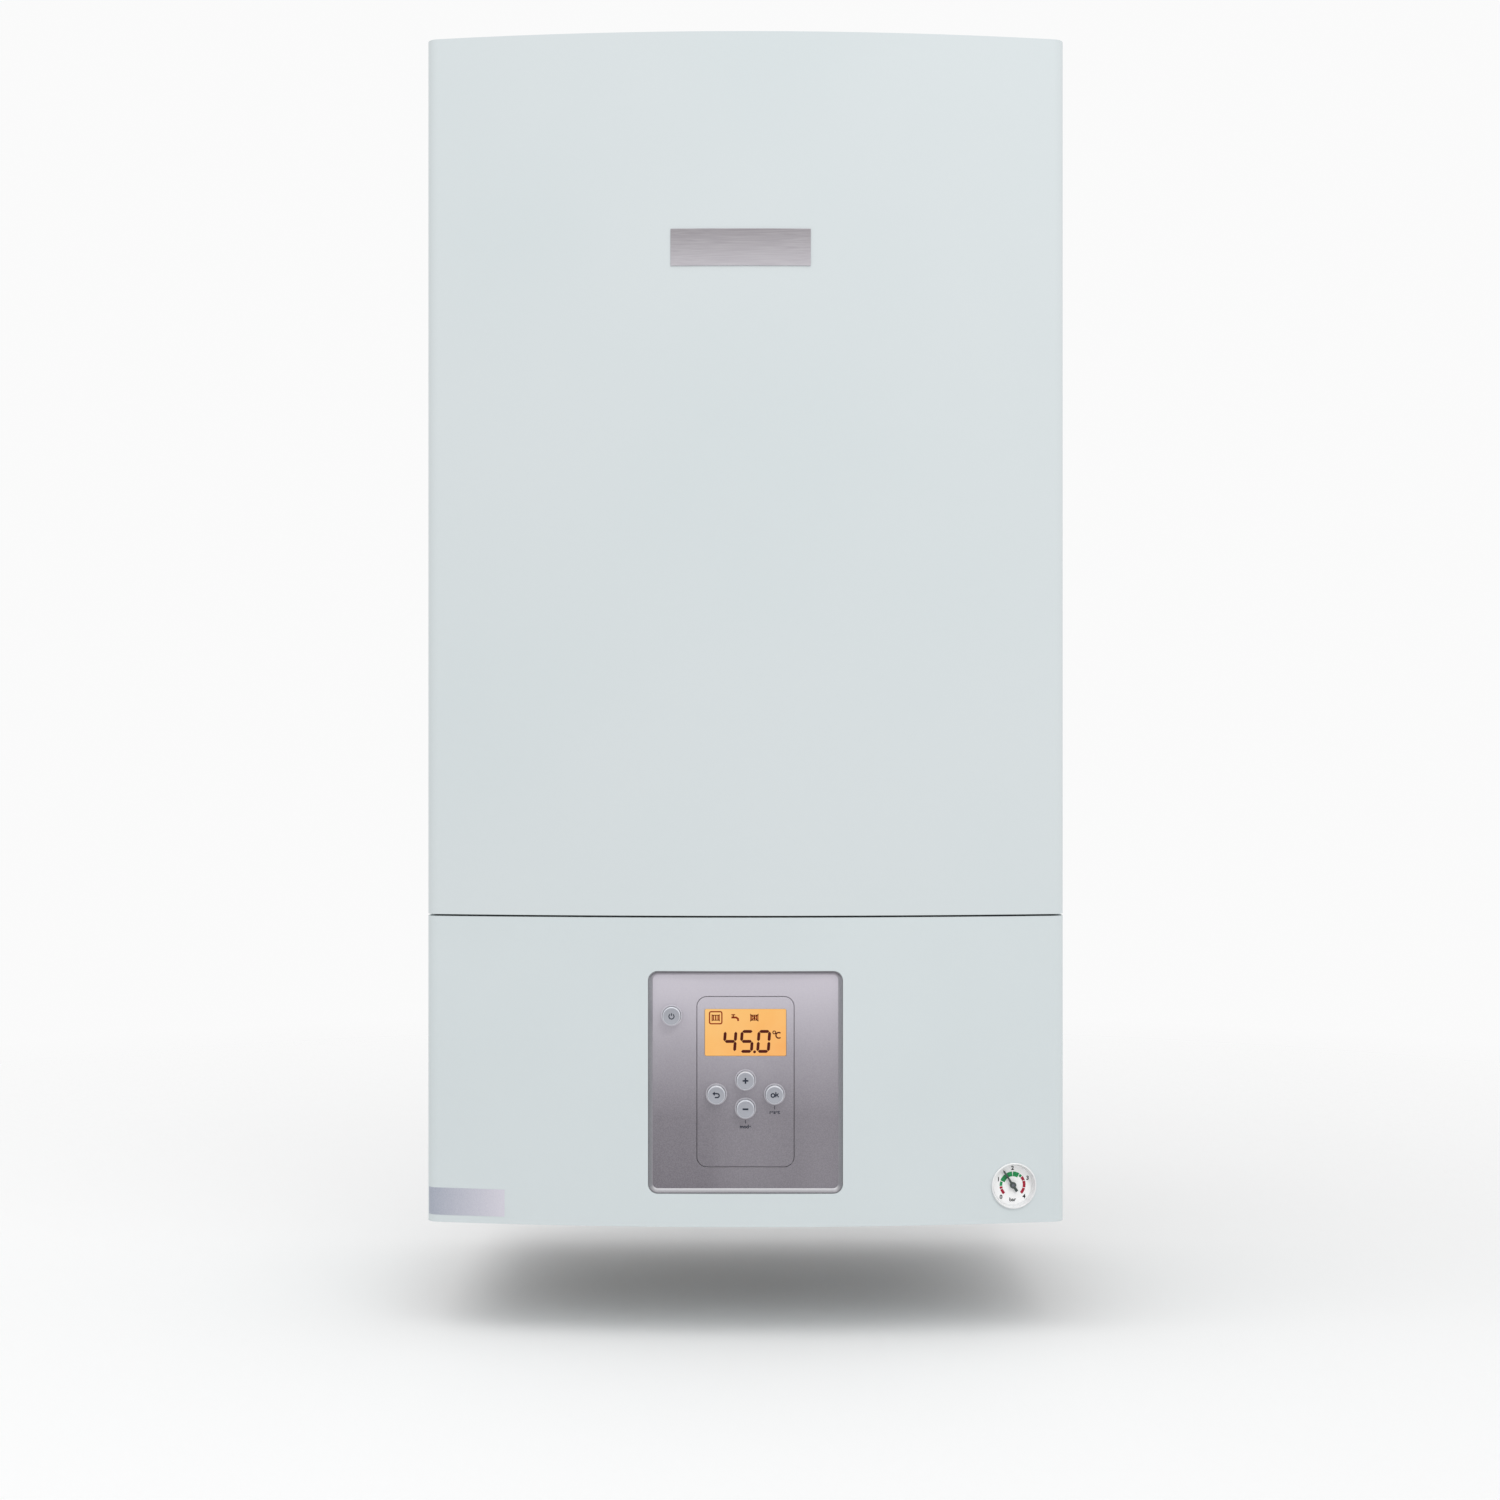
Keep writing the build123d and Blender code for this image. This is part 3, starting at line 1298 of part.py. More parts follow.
with BuildPart() as control_fascia:
    plane, length = slab(rim_y, fascia_back_y)
    with BuildSketch(plane):
        with Locations((0, unit_z)):
            RectangleRounded(2 * fascia_half, unit_height - 2 * loose, unit_corner - loose)
    extrude(amount=length)
    plane, length = slab(fascia_flange_y, fascia_back_y)
    with BuildSketch(plane):
        with Locations((0, unit_z)):
            flange_size = (unit_width + 2 * flange_margin, unit_height + 2 * flange_margin)
            RectangleRounded(*flange_size, unit_corner + flange_margin / 2)
    extrude(amount=length)
    with BuildSketch(Plane.XZ.offset(-rim_y)):
        with Locations((0, unit_z)):
            rim_size = (2 * (fascia_half - rim_land), unit_height - 2 * (loose + rim_land))
            RectangleRounded(*rim_size, unit_corner - loose - rim_land)
    slope = degrees(atan2(rim_width - rim_land, rim_depth))
    extrude(amount=-rim_depth, taper=slope, mode=Mode.SUBTRACT)
    plane, length = slab(field_y - 1, fascia_back_y + 1)
    with BuildSketch(plane):
        with Locations((0, unit_z)):
            recess_size = (insert_width + 2 * trim_gap, insert_height + 2 * trim_gap)
            RectangleRounded(*recess_size, unit_corner + trim_gap)
    extrude(amount=length, mode=Mode.SUBTRACT)
    # collar and hole of the power button
    plane, length = slab(field_y - collar_height, field_y)
    with BuildSketch(plane):
        with Locations(power_place):
            Circle(collar_radius)
    extrude(amount=length)
    plane, length = slab(field_y - collar_height - 1, fascia_back_y + 1)
    with BuildSketch(plane):
        with Locations(power_place):
            Circle(cap_radius + loose)
    extrude(amount=length, mode=Mode.SUBTRACT)
    # posts behind the corners carry the display board
    plane, length = slab(fascia_back_y, board_y)
    with BuildSketch(plane):
        with Locations((0, unit_z)):
            with GridLocations(unit_width - 10, unit_height - 10, 2, 2):
                Circle(3)
    extrude(amount=length)
save(control_fascia, "control_fascia")

# The insert holds the display window and the four-way button group.
with BuildPart() as display_insert:
    plane, length = slab(field_y - 0.2, fascia_back_y)
    with BuildSketch(plane):
        with Locations((0, unit_z)):
            RectangleRounded(insert_width, insert_height, unit_corner)
    extrude(amount=length)
    plane, length = slab(fascia_back_y, insert_back_y)
    with BuildSketch(plane):
        with Locations((0, unit_z)):
            RectangleRounded(insert_width + 6, insert_height + 6, 8)
    extrude(amount=length)
    plane, length = slab(field_y - collar_height, field_y)
    with BuildSketch(plane):
        with Locations(*insert_buttons):
            Circle(collar_radius)
    extrude(amount=length)
    plane, length = slab(field_y - collar_height - 1, insert_back_y + 1)
    with BuildSketch(plane):
        with Locations(*insert_buttons):
            Circle(cap_radius + loose)
        with Locations((0, display_z)):
            RectangleRounded(display_width, display_height, 1.2)
    extrude(amount=length, mode=Mode.SUBTRACT)
save(display_insert, "display_insert")

# Liquid-crystal module: its face fills the window, its body lies on the board.
with BuildPart() as display_module:
    plane, length = slab(field_y + 0.4, insert_back_y)
    with BuildSketch(plane):
        with Locations((0, display_z)):
            RectangleRounded(display_width - 0.4, display_height - 0.4, 1)
    extrude(amount=length)
    plane, length = slab(insert_back_y, board_y)
    with BuildSketch(plane):
        with Locations((0, display_z)):
            Rectangle(display_width + 7, display_height + 8)
    extrude(amount=length)
save(display_module, "display_module")

with BuildPart() as display_board:
    plane, length = slab(board_y, board_y + 1.6)
    with BuildSketch(plane):
        with Locations((0, unit_z)):
            Rectangle(unit_width - 2, unit_height - 2)
    extrude(amount=length)
    plane, length = slab(switch_y, board_y)
    with BuildSketch(plane):
        with Locations(*all_buttons):
            Rectangle(6, 6)
    extrude(amount=length)
    connector_z = unit_z - unit_height / 2 + 14
    add(bar((-12, 12), (board_y + 1.6, board_y + 7), (connector_z - 4, connector_z + 4)))
save(display_board, "display_board")


def button(place, guide_back_y):
    """A dished round cap with a retaining flange behind its guide and a stem to the switch."""
    with BuildPart(mode=Mode.PRIVATE) as cap:
        front = field_y - cap_height
        plane, length = slab(front, guide_back_y + loose)
        with BuildSketch(plane):
            with Locations(place):
                Circle(cap_radius)
        extrude(amount=length)
        fillet(edges().sort_by(Axis.Y)[0], cap_round)
        plane, length = slab(guide_back_y + loose, guide_back_y + loose + catch_sheet)
        with BuildSketch(plane):
            with Locations(place):
                Circle(cap_radius + 1.2)
        extrude(amount=length)
        plane, length = slab(guide_back_y + loose + catch_sheet, stem_back_y)
        with BuildSketch(plane):
            with Locations(place):
                Circle(2)
        extrude(amount=length)
        with Locations((place[0], front - dish_radius + dish_depth, place[1])):
            Sphere(dish_radius, mode=Mode.SUBTRACT)
    return cap.part


for name, (x, rise) in button_places.items():
    guide_y = fascia_back_y if name == "power_button" else insert_back_y
    with BuildPart() as push_button:
        add(button((x, bottom_z + rise), guide_y))
    save(push_button, name)

# Control box behind the unit: an open tray against the console, with the main board in it.
box_half_width = 75
box_half_height = 79
box_wall = 2
box_depth = 54
box_corner = 6
post_length = 22
post_inset = 12
vent_pitch = 10
vent_count = 9
box_front_y = front_y(box_half_width, console_wall) + 0.4
box_back_y = box_front_y + box_depth
main_board_y = box_back_y - post_length
box_middle_z = unit_z
with BuildPart() as control_box:
    box_x = (-box_half_width, box_half_width)
    box_z = (box_middle_z - box_half_height, box_middle_z + box_half_height)
    add(bar(box_x, (box_front_y, box_back_y), box_z))
    fillet(edges().filter_by(Axis.Y), box_corner)
    inner_x = (box_wall - box_half_width, box_half_width - box_wall)
    inner_z = (box_z[0] + box_wall, box_z[1] - box_wall)
    add(bar(inner_x, (box_front_y - 1, box_back_y - box_wall), inner_z), mode=Mode.SUBTRACT)
    with BuildSketch(Plane.XZ.offset(-box_back_y)):
        with Locations((0, box_middle_z)):
            with GridLocations(2 * (box_half_width - post_inset), 2 * (box_half_height - post_inset), 2, 2):
                Circle(3.5)
    extrude(amount=post_length)
    # cooling slots in the back
    with BuildSketch(Plane.XZ.offset(-box_back_y)):
        with Locations((0, box_middle_z + box_half_height / 2)):
            with GridLocations(vent_pitch, 1, vent_count, 1):
                SlotOverall(36, 4, rotation=90)
    extrude(amount=box_wall, mode=Mode.SUBTRACT)
save(control_box, "control_box")

# The main board: transformer, three relays, a row of plugs along its foot, the processor.
board_sheet = 1.6
board_margin = 5
board_front_y = main_board_y - board_sheet
board_low_z = box_middle_z - box_half_height


def on_board(x, rise, width, height, depth):
    """A block soldered to the main board's front, its place given from the box's foot."""
    block_z = (board_low_z + rise, board_low_z + rise + height)
    return bar((x, x + width), (board_front_y - depth, board_front_y), block_z)


with BuildPart() as main_board:
    plane, length = slab(board_front_y, main_board_y)
    with BuildSketch(plane):
        with Locations((0, box_middle_z)):
            Rectangle(2 * (box_half_width - board_margin), 2 * (box_half_height - board_margin))
    extrude(amount=length)
    add(on_board(-60, 18, 28, 26, 14))
    for relay in range(3):
        add(on_board(7 + relay * 20, 20, 14, 18, 12))
    for plug in range(5):
        add(on_board(-58 + plug * 25, 6, 16, 6, 9))
    add(on_board(-30, 84, 36, 26, 3))
save(main_board, "main_board")

# ---------------------------------------------------------------- pressure gauge
# Depths below are measured from the casing's face, square to it.
bezel_low = 0.1
bezel_high = 1.2
bezel_round = 0.7
mouth_radius = gauge_radius - bezel_round - 0.1
dial_radius = 12.45
dial_depth = 3.2
dial_sheet = 0.8
barrel_depth = 22
boss_radius = 4
boss_length = 7
lens_radius = 13.2
lens_front = 0.8
lens_sheet = 1
needle_depth = 2.4
needle_length = 11.3
needle_tail = 4.7
needle_root = 0.75  # half its width at the hub
needle_tip = 0.15
needle_hub = 2
needle_spindle = 0.55
reading_angle = 225 - gauge_sweep * gauge_reading / gauge_full_scale


def gauge_case():
    """Case of the gauge about its axis: barrel, boss, rounded bezel and a dished mouth."""
    seat_radius = dial_radius + running
    floor = -dial_depth - dial_sheet
    crest = gauge_radius - bezel_round
    with BuildPart() as case:
        with BuildSketch(Plane.XZ):
            with BuildLine():
                Polyline(
                    (crest, bezel_high),
                    (mouth_radius, bezel_high),
                    (seat_radius, -dial_depth),
                    (seat_radius, floor),
                    (0, floor),
                    (0, -barrel_depth - boss_length),
                    (boss_radius, -barrel_depth - boss_length),
                    (boss_radius, -barrel_depth),
                    (barrel_radius, -barrel_depth),
                    (barrel_radius, bezel_low),
                    (gauge_radius, bezel_low),
                    (gauge_radius, bezel_high - bezel_round),
                )
                TangentArc(
                    (gauge_radius, bezel_high - bezel_round), (crest, bezel_high), tangent=(0, 1)
                )
            make_face()
        revolve(axis=Axis.Z)
    return case.part


with BuildPart() as gauge_housing:
    add(gauge_plane.location * gauge_case())
save(gauge_housing, "gauge_housing")

with BuildPart() as gauge_dial:
    with BuildSketch(gauge_plane.offset(-dial_depth)):
        Circle(dial_radius)
        Circle(needle_spindle + running, mode=Mode.SUBTRACT)
    extrude(amount=-dial_sheet)
save(gauge_dial, "gauge_dial")

with BuildPart() as gauge_lens:
    with BuildSketch(gauge_plane.offset(lens_front)):
        Circle(lens_radius)
    extrude(amount=-lens_sheet)
save(gauge_lens, "gauge_lens")

# The needle: a tapered pointer with a counterweight, on a hub and a short spindle.
with BuildPart() as gauge_needle:
    with BuildSketch(gauge_plane.offset(-needle_depth)):
        with Locations(Location((0, 0, 0), (0, 0, reading_angle))):
            Polygon(
                (-needle_tail, -needle_root - needle_tip),
                (0, -needle_root),
                (needle_length, -needle_tip),
                (needle_length, needle_tip),
                (0, needle_root),
                (-needle_tail, needle_root + needle_tip),
                align=None,
            )
        Circle(needle_hub)
    extrude(amount=0.5)
    with BuildSketch(gauge_plane.offset(-needle_depth)):
        Circle(needle_hub)
    extrude(amount=1)
    with BuildSketch(gauge_plane.offset(-needle_depth)):
        Circle(needle_spindle)
    extrude(amount=-1.2)
save(gauge_needle, "gauge_needle")
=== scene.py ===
# %% [markdown]
# # A wall-hung combi boiler, dressed for its portrait
# The solids of the boiler are already packed in one shared frame: metres, Z up, the front
# facing -Y. This lesson loads them, gives every one the finish of its real material, and adds
# the details that are too fine for the solids: printing, threads, screws, seals and leads.

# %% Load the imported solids
import bpy
import bmesh
import json
from math import asin, cos, degrees, pi, radians, sin, sqrt, tan
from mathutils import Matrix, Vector


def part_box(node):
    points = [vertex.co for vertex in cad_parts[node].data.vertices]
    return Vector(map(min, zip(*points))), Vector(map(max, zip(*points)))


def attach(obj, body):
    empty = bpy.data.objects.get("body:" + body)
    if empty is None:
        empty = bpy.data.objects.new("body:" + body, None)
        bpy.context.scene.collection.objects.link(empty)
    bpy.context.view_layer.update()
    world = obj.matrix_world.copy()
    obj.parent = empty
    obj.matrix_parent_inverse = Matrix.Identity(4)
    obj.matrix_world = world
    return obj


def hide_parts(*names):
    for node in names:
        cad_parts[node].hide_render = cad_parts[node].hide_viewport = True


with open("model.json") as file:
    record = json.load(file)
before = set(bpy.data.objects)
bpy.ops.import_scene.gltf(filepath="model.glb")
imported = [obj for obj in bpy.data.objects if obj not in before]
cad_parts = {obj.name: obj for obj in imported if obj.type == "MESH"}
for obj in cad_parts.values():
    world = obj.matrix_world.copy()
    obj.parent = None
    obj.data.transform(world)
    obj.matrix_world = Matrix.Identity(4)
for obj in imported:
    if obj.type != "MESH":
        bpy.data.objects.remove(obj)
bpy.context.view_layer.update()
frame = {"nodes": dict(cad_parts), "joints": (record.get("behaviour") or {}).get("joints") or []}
nodes = frame["nodes"]

# %% [markdown]
# Sizes are easiest to read in millimetres, and colours as the hex values of a paint card.
# Blender works in metres and in linear light, so MM and linear() turn one into the other.
# A third helper adds a node to a tree together with its settings and its links, which keeps
# each material down to a few lines that read like a recipe.

# %% Helpers for sizes, colours and nodes
MM = 0.001


def linear(colour):
    """An sRGB hex colour as linear red, green and blue, and an alpha of 1."""
    parts = [int(colour[place:place + 2], 16) / 255 for place in (1, 3, 5)]
    return [c / 12.92 if c <= 0.04045 else ((c + 0.055) / 1.055) ** 2.4 for c in parts] + [1.0]


def add(tree, kind, settings=None, links=None):
    """A node of the tree, with its settings and what feeds it: a socket, or a node's first one."""
    node = tree.nodes.new(kind)
    for name, value in (settings or {}).items():
        if isinstance(value, str) and value.startswith("#"):
            value = linear(value)
        if isinstance(name, int) or name in node.inputs:
            node.inputs[name].default_value = value
        else:
            setattr(node, name, value)
    for name, source in (links or {}).items():
        if isinstance(source, bpy.types.Node):
            source = source.outputs[0]
        tree.links.new(source, node.inputs[name])
    return node


print("1 mm is", MM, "and #ffffff is", linear("#ffffff"))

# %% [markdown]
# Three parts of a material's recipe come back all the time: random patches of a known size, a
# fade between two colours, and the shader that closes a material and is embossed by a pattern.
# Noise rarely reaches its ends, so a fade over noise starts and stops inside them.

# %% Parts of every material
NOISE_SPAN = (0.35, 0.65)  # most values of a noise pattern lie between these


def new_material(name):
    """An empty material: its tree, and the object's own coordinates in metres."""
    material = bpy.data.materials.new(name)
    material.use_nodes = True
    tree = material.node_tree
    tree.nodes.clear()
    return tree, add(tree, "ShaderNodeTexCoord").outputs["Object"]


def noise(tree, place, size, detail=3.0, stretch=(1, 1, 1)):
    """Soft random patches of a size in millimetres, stretched along the axes if wanted."""
    spread = [1 / share for share in stretch]
    turned = add(tree, "ShaderNodeMapping", {"Scale": spread}, {"Vector": place})
    return add(tree, "ShaderNodeTexNoise", {"Scale": 1 / (size * MM), "Detail": detail}, {"Vector": turned})


def fade(tree, value, start, end, first, last, low=0.0, high=1.0):
    """Mixes two colours: the share of the last goes from low to high while a value goes from start to end."""
    share = add(tree, "ShaderNodeMapRange",
                {"From Min": start, "From Max": end, "To Min": low, "To Max": high}, {"Value": value})
    settings, links = {"data_type": "RGBA"}, {0: share}
    for slot, colour in ((6, first), (7, last)):
        (settings if isinstance(colour, str) else links)[slot] = colour
    return add(tree, "ShaderNodeMix", settings, links).outputs[2]


def skin(tree, settings, links, relief=None, depth=0.0):
    """Closes a material with its one shader; a relief is a pattern as high as depth, in millimetres."""
    if relief is not None:
        bump = add(tree, "ShaderNodeBump", {"Strength": 1.0, "Distance": depth * MM}, {"Height": relief})
        links = dict(links, Normal=bump)
    shader = add(tree, "ShaderNodeBsdfPrincipled", settings, links)
    add(tree, "ShaderNodeOutputMaterial", links={"Surface": shader})


print("a fade over noise runs from", *NOISE_SPAN)

# %% [markdown]
# Most of the boiler's surfaces follow one recipe: two close shades in soft patches, a
# roughness that wanders a little, and a fine grain that breaks the highlight. What changes
# from paint to casting is the size of the grain and how deep it goes, so one function takes
# these in millimetres. Each finish is then a line or two, named for the real material.

# %% The common recipe for a finish
def finish(name, light, dark, patch, rough, grain, depth, metallic=0.0, stretch=(1, 1, 1),
           edge=None, **fixed):
    """Two shades in patches, a range of roughness, and a grain bump. Sizes in millimetres.

    An edge colour, if given, is a painted highlight where the surface turns away from the front."""
    tree, place = new_material(name)
    colour = fade(tree, noise(tree, place, patch, 4.0), *NOISE_SPAN, light, dark)
    if edge:
        # painted highlight: the edge colour where the surface turns away from the front
        normal = add(tree, "ShaderNodeNewGeometry").outputs["Normal"]
        facing = add(tree, "ShaderNodeSeparateXYZ", links={"Vector": normal}).outputs["Y"]
        colour = fade(tree, facing, -0.965, -0.8, colour, edge)
    start, end = NOISE_SPAN
    shine = add(tree, "ShaderNodeMapRange",
                {"From Min": start, "From Max": end, "To Min": rough[0], "To Max": rough[1]},
                {"Value": noise(tree, place, patch / 3, 3.0, stretch)})
    settings = {key.replace("_", " "): value for key, value in fixed.items()}
    skin(tree, dict(settings, Metallic=metallic), {"Base Color": colour, "Roughness": shine},
         noise(tree, place, grain, 2.0, stretch), depth)


def wear(name, *node_names):
    """Gives a finished material to the solids named."""
    for node_name in node_names:
        for slot in nodes[node_name].material_slots:
            slot.material = bpy.data.materials[name]
    print(name, "on", ", ".join(node_names))


# %% [markdown]
# The casing is sheet steel with a white powder coat. Powder melts into a skin with a faint
# orange-peel ripple about two millimetres wide, so its shine is soft and slightly uneven.
# The console is moulded ABS in the same white: smoother, with a finer grain from the tool.

# %% Casing and console
finish("powder_coat_white", "#d4dbdd", "#d2dadc", 180, (0.36, 0.44), 1.8, 0.012,
       Coat_Weight=0.15, Coat_Roughness=0.25)
wear("powder_coat_white", "front_cover", "skirt_left", "skirt_right", "top_plate")
finish("abs_moulded_white", "#d4dcde", "#d2dadc", 140, (0.38, 0.44), 0.7, 0.006)
wear("abs_moulded_white", "console")

# %% [markdown]
# The control unit's face is a silver film: fine metallic flakes under a satin lacquer. Its grey
# deepens from its top edge to its foot; this is painted shade, the reflection that the film shows
# under light from above, drawn along the height on the object, so it stays there in every view.
# The sloping rim is polished and carries painted light and shade: a painted dark line under its
# crest, and slopes painted darkest above and palest at the foot.
# The collars round the buttons stand a millimetre proud and carry a painted highlight.
# The flakes are far below a pixel, so they are drawn 0.6 mm across and very faint.

# %% Silver film of the control unit
unit_low, unit_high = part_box("control_fascia")
RIM_DEPTH = 2.6  # millimetres from the crest of the rim down to the field
COLLAR_HIGHLIGHT_LEVELS = (0.8, 0.4)  # above the field: the painted highlight at its brightest, and gone
CREST_SHADE_LEVELS = (0.3, 0.6)  # under the crest: its painted shade line at its darkest, and gone


def silver_film(name):
    """Painted shade down the face, along the crest and on the rim, painted collar highlights, the flakes."""
    tree, place = new_material(name)
    parts = add(tree, "ShaderNodeSeparateXYZ", links={"Vector": place}).outputs
    normal = add(tree, "ShaderNodeNewGeometry").outputs["Normal"]
    facing = add(tree, "ShaderNodeSeparateXYZ", links={"Vector": normal}).outputs
    # painted shade: the grey deepens from the unit's top edge to its foot
    height = add(tree, "ShaderNodeMapRange", {"From Min": unit_low.z, "From Max": unit_high.z},
                 {"Value": parts["Z"]})
    ramp = add(tree, "ShaderNodeValToRGB", links={"Fac": height})
    stops = ((0.0, "#736e76"), (0.35, "#7d7880"), (0.62, "#a39ea7"), (1.0, "#d8d3dd"))
    for position, colour in stops[1:3]:
        ramp.color_ramp.elements.new(position)
    for element, (position, colour) in zip(ramp.color_ramp.elements, stops):
        element.position, element.color = position, linear(colour)
    streak = noise(tree, place, 70, 1.0, (0.7, 1, 3))
    field = fade(tree, streak, 0.45, 0.75, ramp.outputs[0], "#d6d2da", 0.0, 0.13)
    field_y = unit_low.y + RIM_DEPTH * MM
    full, gone = (field_y - level * MM for level in COLLAR_HIGHLIGHT_LEVELS)
    # painted highlight on the collars round the buttons
    field = fade(tree, parts["Y"], full, gone, field, "#d9d7de", 0.55, 0.0)
    full, gone = (unit_low.y + level * MM for level in CREST_SHADE_LEVELS)
    # painted shade: a dark line just under the rim's crest
    field = fade(tree, parts["Y"], full, gone, field, "#77757a", 0.8, 0.0)
    # painted light and shade on the rim: the upper slope, facing down, darkest; the sides mid grey; the lower
    # slope, facing up, palest
    above, aside, below = [fade(tree, parts["Y"], unit_low.y, field_y, crest, foot) for crest, foot in
                           (("#4b484e", "#d3ced6"), ("#8b8f93", "#a2a0a6"), ("#8e8c91", "#dcdcdf"))]
    slope = fade(tree, facing["Z"], -0.6, -0.2, above, aside)
    slope = fade(tree, facing["Z"], 0.2, 0.6, slope, below)
    shaped = fade(tree, facing["Y"], -0.95, -0.8, field, slope)
    flakes = noise(tree, place, 0.6, 1.0)
    speckled = fade(tree, flakes, *NOISE_SPAN, shaped, "#ffffff", 0.0, 0.06)
    skin(tree, {"Metallic": 0.35, "Roughness": 0.42, "Coat Weight": 0.1, "Coat Roughness": 0.3},
         {"Base Color": speckled}, flakes, 0.002)


silver_film("silver_film_painted_shade")
wear("silver_film_painted_shade", "control_fascia", "display_insert")
print("unit from", round(unit_low.z, 3), "to", round(unit_high.z, 3))

# %% [markdown]
# The buttons are moulded in a pale grey ABS with a satin spark-eroded texture; their rounded
# edges carry a painted highlight that makes them look much paler.
# The display is a liquid-crystal cell in front of an orange light guide: it glows by itself,
# a little unevenly, under a polished film. Only its front lights up, and the rest of the module
# stays dull grey plastic.

# %% Buttons and display
# the edge colour is a painted highlight on the caps' rounded edges
finish("abs_satin_grey", "#a7a9b1", "#a3a5ad", 20, (0.38, 0.48), 0.35, 0.006, edge="#dde0e7")
button_names = ("plus_button", "minus_button", "back_button", "ok_button", "power_button")
wear("abs_satin_grey", *button_names)
display_low, display_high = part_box("display_module")
display_centre = (display_low + display_high) / 2
WINDOW = (51 * MM, 29.5 * MM)  # the lit window, as wide and as high as the insert's opening
LIT_DEPTH = 0.5 * MM  # how far the glow reaches behind the module's front


def backlit_cell(name):
    """An orange glow on the module's front alone, paler at the top and at the left, a little cloudy."""
    tree, place = new_material(name)
    centred = add(tree, "ShaderNodeMapping", {"Location": tuple(-display_centre)}, {"Vector": place})
    parts = add(tree, "ShaderNodeSeparateXYZ", links={"Vector": centred}).outputs
    wide, high = WINDOW[0] / 2, WINDOW[1] / 2
    top = fade(tree, parts["X"], -wide, wide, "#fdc878", "#ffba60")
    foot = fade(tree, parts["X"], -wide, wide, "#fdba62", "#fbae5e")
    even = fade(tree, parts["Z"], -high, high, foot, top)
    cloudy = fade(tree, noise(tree, place, 14, 2.0), *NOISE_SPAN, even, "#fec97c", 0.0, 0.35)
    lit_y = display_low.y + LIT_DEPTH - display_centre.y
    front = add(tree, "ShaderNodeMath", {"operation": "LESS_THAN", 1: lit_y}, {0: parts["Y"]})
    glow = add(tree, "ShaderNodeMix", {"data_type": "RGBA", 6: "#000000"}, {0: front, 7: cloudy})
    body = add(tree, "ShaderNodeMix", {"data_type": "RGBA", 6: "#8c8f92", 7: "#1c1006"}, {0: front})
    skin(tree, {"Roughness": 0.28, "Emission Strength": 0.93},
         {"Base Color": body.outputs[2], "Emission Color": glow.outputs[2]})


backlit_cell("lcd_backlit_orange")
wear("lcd_backlit_orange", "display_module")
print("display window centred at", tuple(round(c, 4) for c in display_centre))

# %% [markdown]
# Behind the cover the boiler is a small museum of finishes. Zinc-dipped sheet freezes into
# crystals just under a centimetre wide, each with its own tilt: a pattern of cells gives one value
# per crystal. Rolled stainless steel keeps hair-fine lines, so its grain is stretched. Zinc
# plating is a thin bright skin on screws and pins, and spring steel is darkened by its tempering.

# %% Sheet metals
def galvanised(name):
    """Zinc crystals 8 mm across, each with its own shade and shine, under a fine frost."""
    tree, place = new_material(name)
    crystals = add(tree, "ShaderNodeTexVoronoi", {"Scale": 1 / (8 * MM)}, {"Vector": place})
    value = add(tree, "ShaderNodeSeparateColor", links={"Color": crystals.outputs["Color"]})
    colour = fade(tree, value, 0.0, 1.0, "#b3b8bc", "#c3c8cb")
    shine = add(tree, "ShaderNodeMapRange", {"To Min": 0.38, "To Max": 0.5}, {"Value": value})
    skin(tree, {"Metallic": 0.85}, {"Base Color": colour, "Roughness": shine}, noise(tree, place, 1.4), 0.01)


galvanised("steel_zinc_dipped")
wear("steel_zinc_dipped", "back_frame", "base_tray", "cross_rail", "vessel_brackets", "hinge_brackets")
finish("steel_stainless_rolled", "#b9b8b4", "#adada9", 60, (0.24, 0.34), 0.5, 0.006, 1.0, (1, 1, 30))
wear("steel_stainless_rolled", "flue_duct", "plate_heat_exchanger", "fan_impeller")
finish("steel_zinc_plated", "#c3c5c6", "#b3b6b9", 12, (0.25, 0.38), 0.8, 0.004, 1.0)
wear("steel_zinc_plated", "cover_screws", "hinge_pins")
finish("steel_spring_blued", "#7d7f84", "#6c6e74", 8, (0.28, 0.4), 0.6, 0.003, 1.0)
wear("steel_spring_blued", "console_clips")

# %% [markdown]
# Castings are dull and a little pitted, as the sand or the die leaves them; pressed brass is
# brighter, with a soft grain, and drawn copper tube is smooth but stained by heat. The pump's
# iron wears a thick black lacquer. The vessel's red enamel is stoved, so it flows to a gloss
# with a slow ripple.

# %% Castings, tube and coatings
finish("aluminium_die_cast", "#a9abad", "#98999b", 35, (0.42, 0.58), 1.1, 0.06, 0.9)
wear("aluminium_die_cast", "heat_cell", "flue_collar", "fan_housing", "burner_hood", "gas_valve")
finish("brass_hot_pressed", "#c9a968", "#b8955a", 18, (0.3, 0.45), 1.0, 0.03, 1.0)
wear("brass_hot_pressed", "left_hydroblock", "right_hydroblock", "safety_valve", "filling_tap", "air_vent")
finish("copper_tube", "#c98963", "#b06f4d", 40, (0.25, 0.4), 2.5, 0.01, 1.0)
wear("copper_tube", "flow_pipe", "return_pipe", "gas_pipe")
finish("iron_cast_black_lacquer", "#26292c", "#1e2022", 30, (0.42, 0.6), 1.2, 0.09)
wear("iron_cast_black_lacquer", "pump_body")
finish("enamel_red_stoved", "#9b1f1b", "#8d1a17", 90, (0.28, 0.38), 2.2, 0.02, Coat_Weight=0.3,
       Coat_Roughness=0.15)
wear("enamel_red_stoved", "expansion_vessel")

# %% [markdown]
# Moulded parts keep the skin of their mould. Glass-filled polyamide comes out dull, with fibres
# close under its skin; polypropylene is smoother and a little waxy; the tap's blue knob is plain
# polyamide with a satin shine, and the gauge's housing is ABS from a polished mould. The hose is
# matt rubber, the electrodes are glazed steatite, glossy and slightly wavy, and the dial is
# printed card. A circuit board shows its copper tracks as ridges under the green mask.

